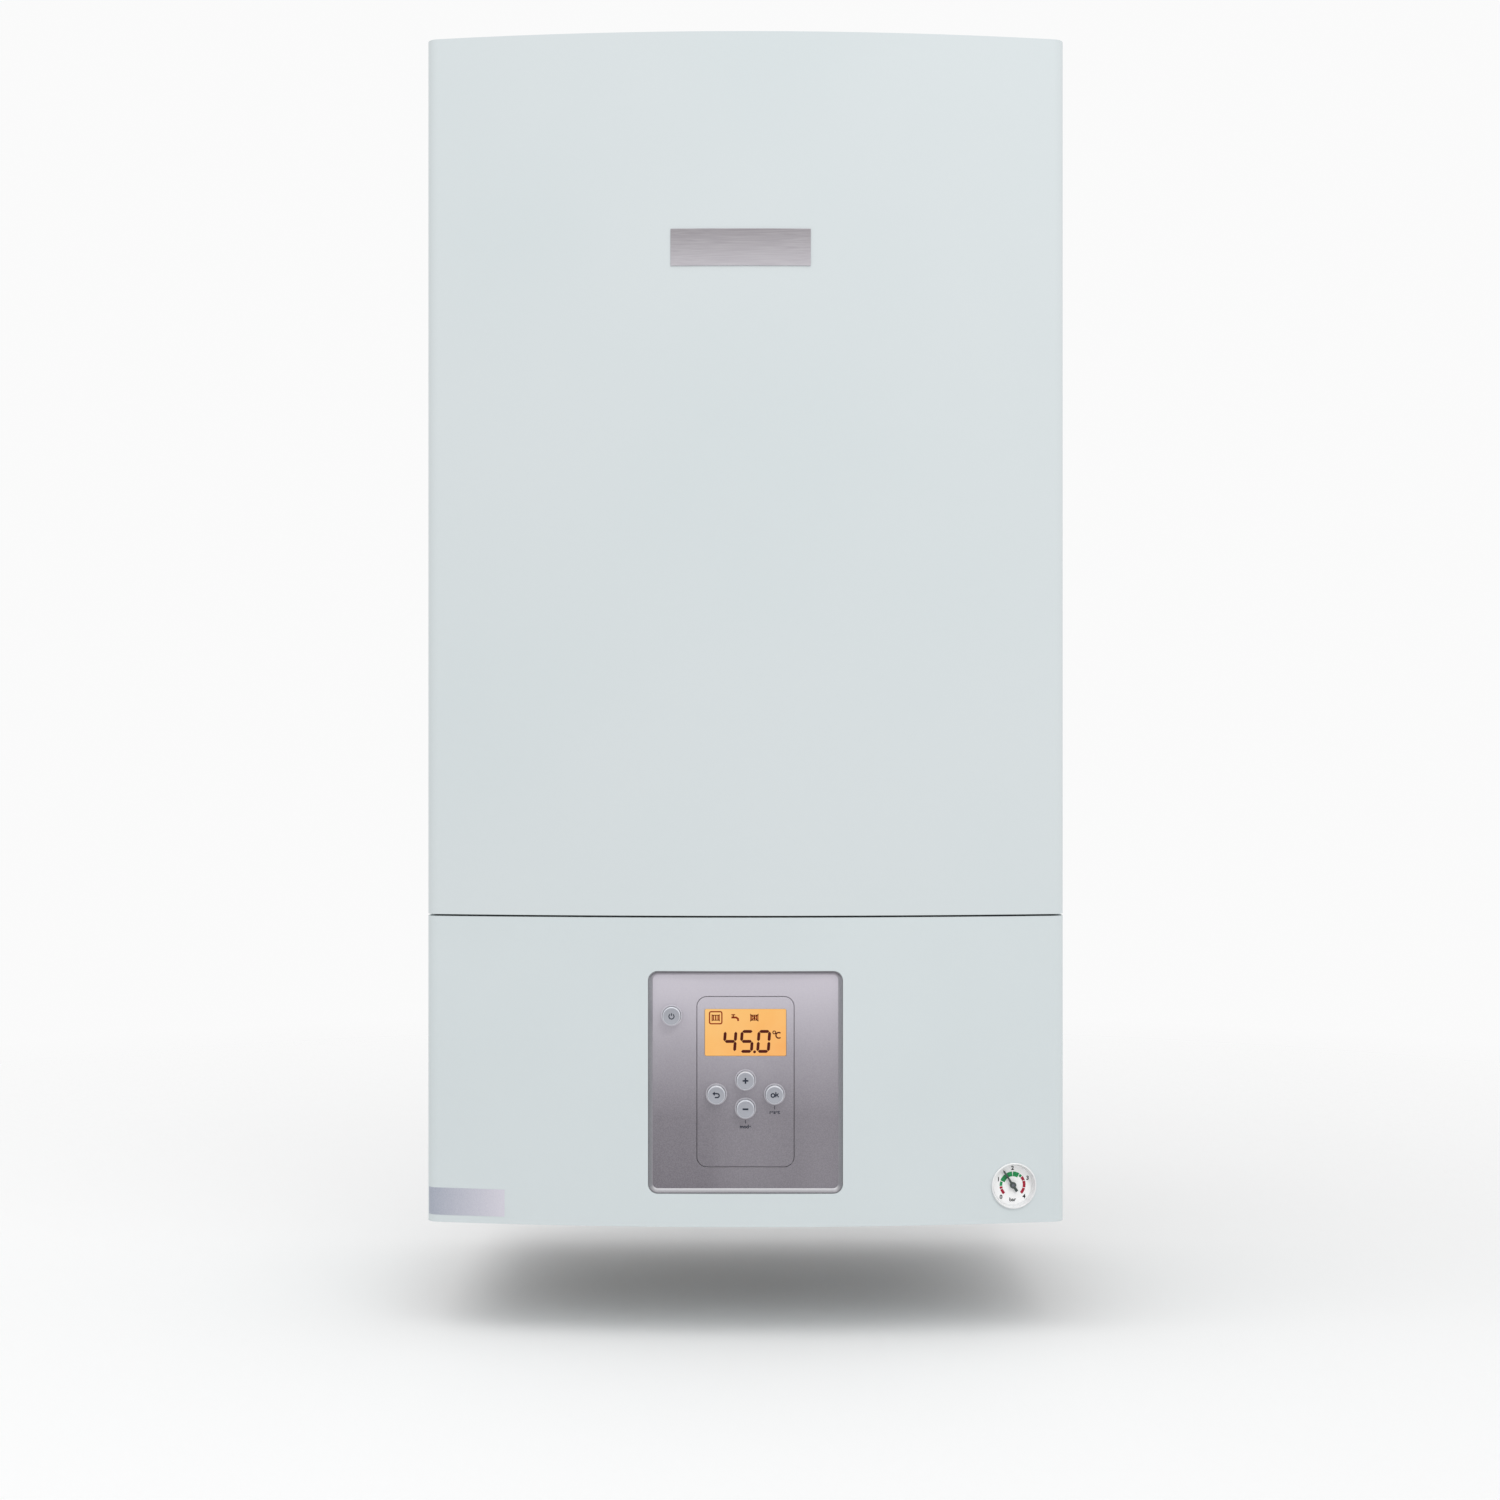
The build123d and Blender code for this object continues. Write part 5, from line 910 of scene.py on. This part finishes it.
# %% Printing on the dial and the needle
BAND_GAP = 1.4  # degrees left open at each end of a band


def band(stops, inner, outer):
    """Printed pieces of a ring between pressures that follow one another, with narrow gaps."""
    turns = [(bar_angle(start) - BAND_GAP, bar_angle(end) + BAND_GAP) for start, end in zip(stops, stops[1:])]
    return [ribbon(arc((0, 0), (inner + outer) / 2, *turn, 8), outer - inner) for turn in turns]


green = band((0.6, 0.95), 6.6, 8.3) + band((0.95, 2.0, 2.5), 5.4, 8.4) + band((2.5, 2.72), 6.6, 8.3)
red = band((0.0, 0.4, 0.6), 6.6, 8.4) + band((2.72, 3.05, 3.55, 4.0), 6.6, 8.4)
numerals = [moved(lettering("bar", 3.2), 0, -9.2)]
for pressure in range(TOP_PRESSURE + 1):
    reach = 9.8 if pressure == 1 else 10.5
    numerals.append(moved(lettering(str(pressure), 3.5, 0.13), *on_dial(pressure, reach)))
for name, shapes, ink in (("green", green, "ink_green"), ("red", red, "ink_red"),
                          ("numerals", numerals, "ink_black")):
    lay("dial_" + name, shapes, dial_face, ink, "console")
cap = polygon(arc((0, 0), 0.9, 0, 345, 24))
blade = line(on_dial(REST_PRESSURE, 1.8), on_dial(REST_PRESSURE, 10.9), 1.1)
lay("needle_cap", [cap], hub_face, "ink_grey", "gauge_needle", 0.12)
lay("needle_paint", [blade], hub_face, "aluminium_painted_slate", "gauge_needle", 0.05)
print("dial printed with", len(green), "green and", len(red), "red bands")

# %% [markdown]
# Behind the cover and under the tray sit the small things that are made by the dozen: screws,
# threads, cable ties. Each kind is a small tree of geometry nodes, built once, and fed with the
# places where its copies go. Every tree starts with the same sockets and ends with the same
# three nodes, which turn the copies into plain mesh and give them their material.

# %% Geometry nodes: the frame for every tree
def grow(name, sockets):
    """An empty tree with named inputs: the tree, its inputs, and a helper to close it."""
    tree = bpy.data.node_groups.new(name, "GeometryNodeTree")
    tree.interface.new_socket("Geometry", in_out="OUTPUT", socket_type="NodeSocketGeometry")
    tree.interface.new_socket("Places", in_out="INPUT", socket_type="NodeSocketGeometry")
    for label, value in sockets.items():
        kind = "NodeSocketVector" if isinstance(value, tuple) else "NodeSocketFloat"
        tree.interface.new_socket(label, in_out="INPUT", socket_type=kind).default_value = value
    tree.interface.new_socket("Material", in_out="INPUT", socket_type="NodeSocketMaterial")
    given = tree.nodes.new("NodeGroupInput").outputs

    def close(copies):
        """Makes the copies plain mesh, gives them their material and ends the tree."""
        solid = add(tree, "GeometryNodeRealizeInstances", links={0: copies})
        painted = add(tree, "GeometryNodeSetMaterial", links={0: solid, "Material": given["Material"]})
        add(tree, "NodeGroupOutput", links={0: painted})
    return tree, given, close


print("trees so far:", len(bpy.data.node_groups))

# %% [markdown]
# A tree only works on an object. So a carrier made of bare points goes through it as a modifier;
# what comes out is kept as a mesh of its own, and the carrier is taken away again.

# %% Geometry nodes: the harvest
def harvest(tree, name, places, material, body, slot, edges=(), **values):
    """Feeds places in millimetres to a tree and keeps the mesh it gives as a piece."""
    seeds = bpy.data.meshes.new(name + "_places")
    seeds.from_pydata([Vector(place) * MM for place in places], edges, [])
    carrier = bpy.data.objects.new(name + "_carrier", seeds)
    bpy.context.collection.objects.link(carrier)
    modifier = carrier.modifiers.new("grow", "NODES")
    modifier.node_group = tree
    values["Material"] = bpy.data.materials[material]
    for item in tree.interface.items_tree:
        if item.in_out == "INPUT" and item.name in values:
            modifier[item.identifier] = values[item.name]
    made = bpy.data.meshes.new_from_object(carrier.evaluated_get(bpy.context.evaluated_depsgraph_get()))
    carrier.modifiers.remove(modifier)
    bpy.data.objects.remove(carrier)
    bpy.data.meshes.remove(seeds)
    print(name, "has", len(made.polygons), "faces at", len(places), "places")
    return placed(name, made, body)

# %% [markdown]
# A sheet-metal screw has a hexagonal head with a chamfered top on a broad washer flange. The
# head is drawn for a width and a height of one, standing on the ground, then stretched to the
# sizes that the tree is given and turned to face out of its panel. A little random spin keeps
# the row from looking drilled by a machine.

# %% Hexagon screws
screws, given, close = grow("hexagon screws", {"Width": 7 * MM, "Height": 3 * MM, "Turn": (0.0, 0.0, 0.0)})
washer = add(screws, "GeometryNodeMeshCone", {"Vertices": 20, "Radius Bottom": 0.72, "Radius Top": 0.62,
                                              "Depth": 0.3})
head = add(screws, "GeometryNodeMeshCylinder", {"Vertices": 6, "Radius": 0.56, "Depth": 0.85})
top = add(screws, "GeometryNodeMeshCone", {"Vertices": 6, "Radius Bottom": 0.56, "Radius Top": 0.44,
                                           "Depth": 0.15})
head_up = add(screws, "GeometryNodeTransform", {"Translation": (0.0, 0.0, 0.43)}, {0: head})
top_up = add(screws, "GeometryNodeTransform", {"Translation": (0.0, 0.0, 0.85)}, {0: top})
joined = add(screws, "GeometryNodeJoinGeometry")
for part in (washer, head_up, top_up):
    screws.links.new(part.outputs[0], joined.inputs[0])
size = add(screws, "ShaderNodeCombineXYZ", links={0: given["Width"], 1: given["Width"], 2: given["Height"]})
screw = add(screws, "GeometryNodeTransform", links={0: joined, "Scale": size})
copies = add(screws, "GeometryNodeInstanceOnPoints",
             links={0: given["Places"], "Instance": screw, "Rotation": given["Turn"]})
any_turn = add(screws, "FunctionNodeRandomValue", {"data_type": "FLOAT", "Seed": 7, 2: 0.0, 3: pi / 3})
about_axis = add(screws, "ShaderNodeCombineXYZ", links={2: any_turn.outputs[1]})
close(add(screws, "GeometryNodeRotateInstances", links={0: copies, "Rotation": about_axis}))
print("a screw grows in", len(screws.nodes), "nodes")

# %% [markdown]
# The first screws go where the real ones would be: six through each flange of the heat cell,
# and eight under the tray. Heads grow upwards, so each set is turned to face out of its panel.

# %% Screws of the heat cell and the tray
def box_in_mm(name):
    """The lowest and highest corner of a solid in millimetres."""
    return [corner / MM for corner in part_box(name)]


def screwed(name, places, width, height, turn, body="root"):
    """A set of plated screws at places in millimetres, heads turned as given."""
    harvest(screws, name, places, "steel_zinc_plated", body, "screw_steel",
            Width=width * MM, Height=height * MM, Turn=turn)


TO_CEILING, TO_FLOOR = (0.0, 0.0, 0.0), (pi, 0.0, 0.0)
TO_FRONT, TO_WALL = (pi / 2, 0.0, 0.0), (-pi / 2, 0.0, 0.0)
CELL_BOLTS = (59, 64)  # the flange's bolts, across and along, from the middle of the six
CELL_BOLTS_IN = 70  # that middle, in front of the cell's rear
FLANGE = 7  # thickness of the cell's flanges
TRAY_SPOTS = [(-176, -30), (176, -30), (-178, -110), (178, -110), (-150, -212), (0, -212), (150, -212),
              (0, -20)]
cell_low, cell_high = box_in_mm("heat_cell")
tray_foot = box_in_mm("base_tray")[0].z
cell_x, cell_y = (cell_low.x + cell_high.x) / 2, cell_high.y - CELL_BOLTS_IN
bolts = [(cell_x + across * CELL_BOLTS[0], cell_y + along * CELL_BOLTS[1])
         for across in (-1, 1) for along in (-1, 0, 1)]
screwed("cell_screws_upper", [(x, y, cell_high.z - FLANGE) for x, y in bolts], 7, 4, TO_FLOOR)
screwed("cell_screws_lower", [(x, y, cell_low.z + FLANGE) for x, y in bolts], 7, 4, TO_CEILING)
screwed("tray_screws", [(x, y, tray_foot) for x, y in TRAY_SPOTS], 6.5, 3, TO_FLOOR)
print("screws:", 2 * len(bolts), "in the heat cell and", len(TRAY_SPOTS), "under the tray")

# %% [markdown]
# A fan's scroll widens evenly from its tongue, under the outlet, to the top: its radius grows
# with the angle, from 57 to 72 mm. Two straight sides then lead to the outlet's mouth. All the
# outlines of the housing are this one, drawn further out or further in.

# %% The fan's spiral
TONGUE, CROWN = 57, 72  # radius of the scroll at its tongue and at its top
OUTLET_LOW, MOUTH = 36, -62  # the outlet's lower side and its mouth, from the wheel's middle
wheel = Vector(joint("fan_spin")["pos_m"]) / MM
fan_x, fan_z = wheel.x, wheel.z


def scroll_place(share, outwards=0.0):
    """A place on the spiral in the picture plane, from the tongue (0) to the top (1)."""
    first = 180 - degrees(asin((OUTLET_LOW - outwards) / (TONGUE + outwards)))
    angle = radians(first + (450 - first) * share)
    reach = TONGUE + (CROWN - TONGUE) * share + outwards
    return fan_x + reach * cos(angle), fan_z + reach * sin(angle)


def scroll_outline(outwards=0.0, steps=96):
    """The whole outline: the spiral, then the outlet's straight sides and its mouth."""
    spiral = [scroll_place(step / steps, outwards) for step in range(steps + 1)]
    left = fan_x + MOUTH - outwards
    return spiral + [(left, fan_z + CROWN + outwards), (left, fan_z + OUTLET_LOW - outwards)]


print("the spiral grows by", CROWN - TONGUE, "mm in", len(scroll_outline()) - 3, "steps")

# %% [markdown]
# Each layer of the housing is a slab: its outline is filled with triangles and then given its
# depth, and every further outline inside the first becomes a hole through it.

# %% Slabs with holes
def pressed(mesh, loops, front, back):
    """A slab between two depths, bounded by the first outline and pierced by the others."""
    edges = []
    for loop in loops:
        corners = [mesh.verts.new(Vector((x, front, z)) * MM) for x, z in loop]
        edges += [mesh.edges.new((corners[i - 1], corners[i])) for i in range(len(corners))]
    filled = bmesh.ops.triangle_fill(mesh, use_beauty=True, edges=edges)["geom"]
    faces = [part for part in filled if isinstance(part, bmesh.types.BMFace)]
    raised(mesh, faces, Vector((0, back - front, 0)) * MM)


def hole(radius, corners):
    """A round hole about the wheel's axis."""
    return arc((fan_x, fan_z), radius, 0, 360 - 360 / corners, corners - 1)


print("the fan's shaft is at", round(fan_x, 1), "across and", round(fan_z, 1), "up")

# %% [markdown]
# The housing is built of such slabs: two plates, the wall between them, a clamped seam
# round the middle and the neck of the outlet. It stands for the plain solid, whose wall doesn't
# follow the spiral at the upper right.

# %% The fan's housing
FAN_WALL = 3
SEAM_BACK, SEAM_THICK, SEAM_RIM = 20, 4, 4  # from the housing's rear, its thickness, its width
INLET_RADIUS, SHAFT_RADIUS = 20, 4
NECK, NECK_INSET = 6, 4  # how far the block of the neck reaches out, and its depth's inset
fan_low, fan_high = box_in_mm("fan_housing")
outside, inside = scroll_outline(), scroll_outline(-FAN_WALL)
front_inside, back_inside = fan_low.y + FAN_WALL, fan_high.y - FAN_WALL
seam_back = fan_high.y - SEAM_BACK
seam_front = seam_back - SEAM_THICK
left, right = fan_x + MOUTH - NECK, fan_x + MOUTH
low, high = fan_z + OUTLET_LOW, fan_z + CROWN
neck = [(left, high), (right, high), (right, low), (left, low)]
housing = bmesh.new()
for loops, front, back in (([outside, hole(INLET_RADIUS, 72)], fan_low.y, front_inside),
                           ([outside, inside], front_inside, back_inside),
                           ([outside, hole(SHAFT_RADIUS, 18)], back_inside, fan_high.y),
                           ([scroll_outline(SEAM_RIM), scroll_outline(-0.5)], seam_front, seam_back),
                           ([neck], fan_low.y + NECK_INSET, fan_high.y - NECK_INSET)):
    pressed(housing, loops, front, back)
shell = finished(housing, "fan_scroll", "aluminium_die_cast", "root", smooth=True)
shell.data.set_sharp_from_angle(angle=radians(28))
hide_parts("fan_housing")
print("scroll from", round(fan_x - TONGUE, 1), "to", round(max(x for x, z in outside), 1), "mm across")

# %% [markdown]
# Small screws clamp the seam. They sit on the middle of its rim, on the same spiral.

# %% Screws along the fan's seam
seam = [scroll_place(share, SEAM_RIM / 2) for share in (0.1, 0.26, 0.42, 0.58, 0.74, 0.9)]
screwed("fan_seam_screws", [(x, seam_front, z) for x, z in seam], 3.4, 2.2, TO_FRONT)

# %% [markdown]
# The pipe stubs carry parallel pipe threads, 14 turns to the inch. A spiral curve with a small
# four-sided profile gives the ridge of the thread; it stands 0.5 mm out of the stub.

# %% Threads on the stubs
threads, given, close = grow("pipe threads", {"Radius": 13 * MM, "Turns": 20.0, "Length": 36 * MM,
                                              "Ridge": 0.5 * MM})
helix = add(threads, "GeometryNodeCurveSpiral", {"Resolution": 28},
            {"Rotations": given["Turns"], "Start Radius": given["Radius"], "End Radius": given["Radius"],
             "Height": given["Length"]})
ridge = add(threads, "GeometryNodeCurvePrimitiveCircle", {"Resolution": 4}, {"Radius": given["Ridge"]})
swept = add(threads, "GeometryNodeCurveToMesh", {"Fill Caps": True}, {0: helix, 1: ridge})
close(add(threads, "GeometryNodeInstanceOnPoints", links={0: given["Places"], "Instance": swept}))

PITCH = 25.4 / 14
THREAD_LENGTH, THREAD_START = 38, 1.5  # along the stub, and above its lower end
RIDGE, RIDGE_OUT = 0.65, 0.5  # half width of the profile, and how far it stands out
STUB_Y = -112
WIDE, NARROW = 26.4, 20.96  # outside diameters of G3/4 and G1/2
STUBS = ((-130, WIDE, "heating_left"), (0, WIDE, "heating_middle"), (130, WIDE, "heating_right"),
         (-65, NARROW, "water_left"), (65, NARROW, "water_right"))
thread_z = box_in_mm("left_hydroblock")[0].z + THREAD_START
for x, diameter, name in STUBS:
    material, slot = ("copper_tube", "copper") if x == 0 else ("brass_hot_pressed", "brass")
    harvest(threads, "threads_" + name, [(x, STUB_Y, thread_z)], material, "root", slot,
            Radius=(diameter / 2 + RIDGE_OUT - RIDGE) * MM, Turns=THREAD_LENGTH / PITCH,
            Length=THREAD_LENGTH * MM, Ridge=RIDGE * MM)

# %% [markdown]
# Turned and moulded rings are lathed from a half profile. The first are the fibre washers
# between the tray and each stub's hexagon. Pressed fibre is matt, cloudy and a dull red.

# %% Fibre washers
def lathed(name, centre, profile, material, steps=64):
    """Turns a closed half profile (radius, height) about a vertical axis, all in millimetres."""
    mesh = bmesh.new()
    rings = []
    for step in range(steps):
        angle = 2 * pi * step / steps
        places = [centre + Vector((r * cos(angle), r * sin(angle), h)) for r, h in profile]
        rings.append([mesh.verts.new(place * MM) for place in places])
    for here, there in zip(rings, rings[1:] + rings[:1]):
        for i in range(len(profile)):
            j = (i + 1) % len(profile)
            mesh.faces.new((here[i], there[i], there[j], here[j]))
    return finished(mesh, name, material, "root")


finish("fibre_pressed_red", "#7a3b2c", "#6d3226", 4, (0.6, 0.75), 0.4, 0.02)
WASHER_PLAY, WASHER_REACH = 0.2, 5.5  # from the stub's thread outwards
for place, (x, diameter, name) in enumerate(sorted(STUBS)):
    inner, outer = diameter / 2 + WASHER_PLAY, diameter / 2 + WASHER_REACH
    profile = [(inner, -1.9), (outer - 0.4, -1.9), (outer, -1.5), (outer, -0.1), (inner, -0.1)]
    lathed("stub_washer_%d" % (place + 1), Vector((x, STUB_Y, tray_foot)), profile, "fibre_pressed_red")
print("washers:", len(STUBS))

# %% [markdown]
# The condensate spigot and the relief outlet are open tubes. Deep in a narrow bore no light is
# left, so a dark disc in the end of each is all that it takes.

# %% Bores under the tray
SPIGOT, RELIEF = (-110, 186, 8.6), (-97.5, 151, 5.2)  # across, forwards from the wall, radius of the bore
trap_foot = Vector((0, 0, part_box("condensate_trap")[0].z))
bores = [polygon(arc((x, y), radius, 0, 350, 35)) for x, y, radius in (SPIGOT, RELIEF)]
# painted shade: a dark disc stands for the darkness deep in each bore
lay("trap_bore_shade_discs", bores, flat_face(trap_foot, up=Vector((0, -1, 0))), "rubber_black_and_bore_shade", "root",
    0.05)
print("bores:", len(bores))

# %% [markdown]
# Two lip seals sit in the flue collar, one for each pipe. Two lips one behind the other wipe the
# pipe as it is pushed in. They are EPDM rubber, nearly matt, with a grey bloom.

# %% Seals in the flue collar
finish("epdm_grey", "#3a3c3e", "#323436", 12, (0.55, 0.7), 0.5, 0.015)
FLUE_Y = -140
SEALS = (("air", 50.3, -9), ("exhaust", 30.3, -40))  # outer radius, and height from the collar's top
flue_top = Vector((0, FLUE_Y, box_in_mm("flue_collar")[1].z))
for label, radius, depth in SEALS:
    lip = [(0, 4), (0, -4), (-1.2, -4), (-2.2, -2.5), (-1.2, -1), (-1.2, 0), (-2.2, 1.5), (-1.2, 3)]
    lathed("flue_seal_" + label, flue_top, [(radius + r, depth + h) for r, h in lip], "epdm_grey", 96)
print("seals:", len(SEALS))

# %% [markdown]
# Leads and cord seals are round, soft and bent by hand. A smooth curve through a few places,
# thickened to the right radius and closed at its ends, becomes a mesh at once. Extruded PVC is a
# satin black, silicone is softer and milky, and foam cord is open-celled and quite matt.

# %% Round cords and their skins
def routed(name, places, radius, material):
    """A round lead or cord through places in millimetres."""
    curve = bpy.data.curves.new(name, "CURVE")
    curve.dimensions, curve.bevel_depth, curve.bevel_resolution = "3D", radius * MM, 3
    curve.use_fill_caps, curve.resolution_u = True, 8
    spline = curve.splines.new("NURBS")
    spline.points.add(len(places) - 1)
    for point, place in zip(spline.points, places):
        point.co = tuple(Vector(place) * MM) + (1.0,)
    spline.order_u, spline.use_endpoint_u = 3, True
    carrier = bpy.data.objects.new(name, curve)
    made = bpy.data.meshes.new_from_object(carrier)
    bpy.data.objects.remove(carrier)
    bpy.data.curves.remove(curve)
    made.materials.clear()
    made.materials.append(bpy.data.materials[material])
    for face in made.polygons:
        face.use_smooth = True
    return placed(name, made, "root")


finish("pvc_sheath_black", "#202124", "#191a1d", 30, (0.4, 0.5), 0.6, 0.01)
finish("silicone_sheath_white", "#e6e5df", "#dcdad2", 25, (0.45, 0.55), 0.5, 0.008)
finish("foam_cord_grey", "#55585b", "#4a4d50", 15, (0.8, 0.9), 0.8, 0.08)
print("materials so far:", len(bpy.data.materials))

# %% [markdown]
# The leads run where an electrician would lay them: a trunk up the right side, clear of the
# pump, the fan and the flue, and a branch to each part that needs power.

# %% Leads up the right side
TRUNK = [(170, -151, -630), (170, -151, -612), (178, -138, -590), (182, -118, -540), (182, -112, -440),
         (182, -112, -330), (182, -112, -220), (181, -108, -120), (176, -106, -55), (160, -108, -12),
         (132, -118, -6), (114, -134, -12), (112, -140, -24)]
TO_PUMP = [(180, -118, -520), (178, -128, -500), (174, -150, -488), (170, -176, -484), (164, -184, -484)]
TO_VALVE = [(182, -112, -260), (182, -124, -240), (178, -170, -222), (172, -215, -205), (163, -228, -195)]
TO_DIVERTER = [(180, -116, -500), (174, -100, -474), (130, -92, -463), (60, -90, -460), (-20, -90, -460),
               (-80, -94, -462), (-106, -100, -468), (-110, -106, -486)]
for name, places, radius in (("trunk_lead", TRUNK, 3.0), ("pump_lead", TO_PUMP, 1.8),
                             ("valve_lead", TO_VALVE, 1.8), ("diverter_lead", TO_DIVERTER, 1.6)):
    routed(name, places, radius, "pvc_sheath_black")
print("the trunk lead is drawn through", len(TRUNK), "places")

# %% [markdown]
# Each electrode has a silicone lead of its own, because only silicone bears the heat over the
# hood and the voltage of the spark. The two run side by side to their plugs by the gas valve.

# %% Ignition leads
ELECTRODES = (-135, -113)
for place, x in enumerate(ELECTRODES):
    aside = 6 * place
    route = [(x, -250, -13.7), (x, -261, -14.7), (x + 8, -267, -25.7), (x + 30, -265, -50 - aside),
             (-62, -247, -92), (-26 + aside, -236, -130), (30, -232, -172), (70, -232, -186),
             (91, -232, -190 - aside)]
    routed("ignition_lead_%d" % (place + 1), route, 1.9, "silicone_sheath_white")
print("ignition leads:", len(ELECTRODES))

# %% [markdown]
# A cable tie is a strap round the lead with a square lock at its side. The tree follows the
# straight stretch of the trunk lead, sets a tie at every pitch and turns it along the lead.

# %% Cable ties
ties, given, close = grow("cable ties", {"Pitch": 60 * MM, "Radius": 3 * MM})
spine = add(ties, "GeometryNodeMeshToCurve", links={0: given["Places"]})
evenly = add(ties, "GeometryNodeResampleCurve", {"mode": "LENGTH"},
             {"Curve": spine, "Length": given["Pitch"]})
strap = add(ties, "GeometryNodeMeshCylinder", {"Vertices": 20, "Depth": 2.6 * MM},
            {"Radius": given["Radius"]})
lock = add(ties, "GeometryNodeMeshCube", {"Size": (3.6 * MM, 3.2 * MM, 4.2 * MM)})
outwards = add(ties, "ShaderNodeCombineXYZ", links={0: given["Radius"]})
beside = add(ties, "GeometryNodeTransform", links={0: lock, "Translation": outwards})
tie = add(ties, "GeometryNodeJoinGeometry")
for part in (strap, beside):
    ties.links.new(part.outputs[0], tie.inputs[0])
tangent = add(ties, "GeometryNodeInputTangent")
aligned = add(ties, "FunctionNodeAlignRotationToVector", {"axis": "Z"}, {"Vector": tangent})
close(add(ties, "GeometryNodeInstanceOnPoints", links={0: evenly, "Instance": tie, "Rotation": aligned}))
straight = TRUNK[3:8]
harvest(ties, "cable_ties", straight, "pa_glass_filled_black", "root", "black_plastic",
        edges=[(i, i + 1) for i in range(len(straight) - 1)], Pitch=62 * MM, Radius=3.6 * MM)

# %% [markdown]
# Plugs end the leads, and a soft foam cord lies along each side of the back frame, where the
# cover closes against it. The plugs are small moulded blocks with a collar round the middle.
# Four screws hold the control box's lid to its posts, and five empty sockets wait beside them
# for the leads of other controls.

# %% Plugs, sockets and cord seals
COLLAR_WIDER, COLLAR_SHARE = 1.2, 0.25  # the collar's extra width, and its share of the length


def plug(name, place, size, body="root"):
    """A moulded plug about a place in millimetres: a block, a collar round its middle, soft edges."""
    mesh = bmesh.new()
    wider = Vector((COLLAR_WIDER, COLLAR_WIDER, 0))
    for lengths in (Vector(size), (Vector(size) + wider) * Vector((1, 1, COLLAR_SHARE))):
        for vert in bmesh.ops.create_cube(mesh, size=1.0)["verts"]:
            vert.co = (vert.co * lengths + Vector(place)) * MM
    soften(finished(mesh, name, "pp_moulded_grey", body), 0.5)


PLUGS = (("fan_plug", (112, -140, -20), (12, 9, 9)), ("pump_plug", (167, -182, -484), (7, 12, 13)),
         ("valve_plug", (166, -228, -194), (6, 12, 16)), ("spark_plug_block", (88, -232, -193), (6, 9, 18)),
         ("diverter_plug", (-110, -106, -484), (10, 9, 8)))
for name, place, size in PLUGS:
    plug(name, place, size)
LID_INSET = 12  # of the lid's screws from the box's corners
SOCKETS, SOCKET_PITCH, SOCKET_RISE = 5, 23, 22
SOCKET_SIZE = (16, 5.6, 11)
box_low, box_high = box_in_mm("control_box")
lid_spots = [(x, box_high.y, z) for x in (box_low.x + LID_INSET, box_high.x - LID_INSET)
             for z in (box_low.z + LID_INSET, box_high.z - LID_INSET)]
screwed("control_box_screws", lid_spots, 5, 2.4, TO_WALL, "console")
for place in range(SOCKETS):
    spot = ((place - (SOCKETS - 1) / 2) * SOCKET_PITCH, box_high.y + 2.9, box_low.z + SOCKET_RISE)
    plug("box_socket_%d" % (place + 1), spot, SOCKET_SIZE, "console")
SEAL_X, SEAL_Y = 196.2, -32
for side, label in ((-1, "left"), (1, "right")):
    routed("side_seal_" + label, [(side * SEAL_X, SEAL_Y, z) for z in (-462, -340, -220, -100, 20)], 2.1,
           "foam_cord_grey")
print("plugs and seals placed")

# %% [markdown]
# The last line brings the view layer up to date.

# %% The end
bpy.context.view_layer.update()
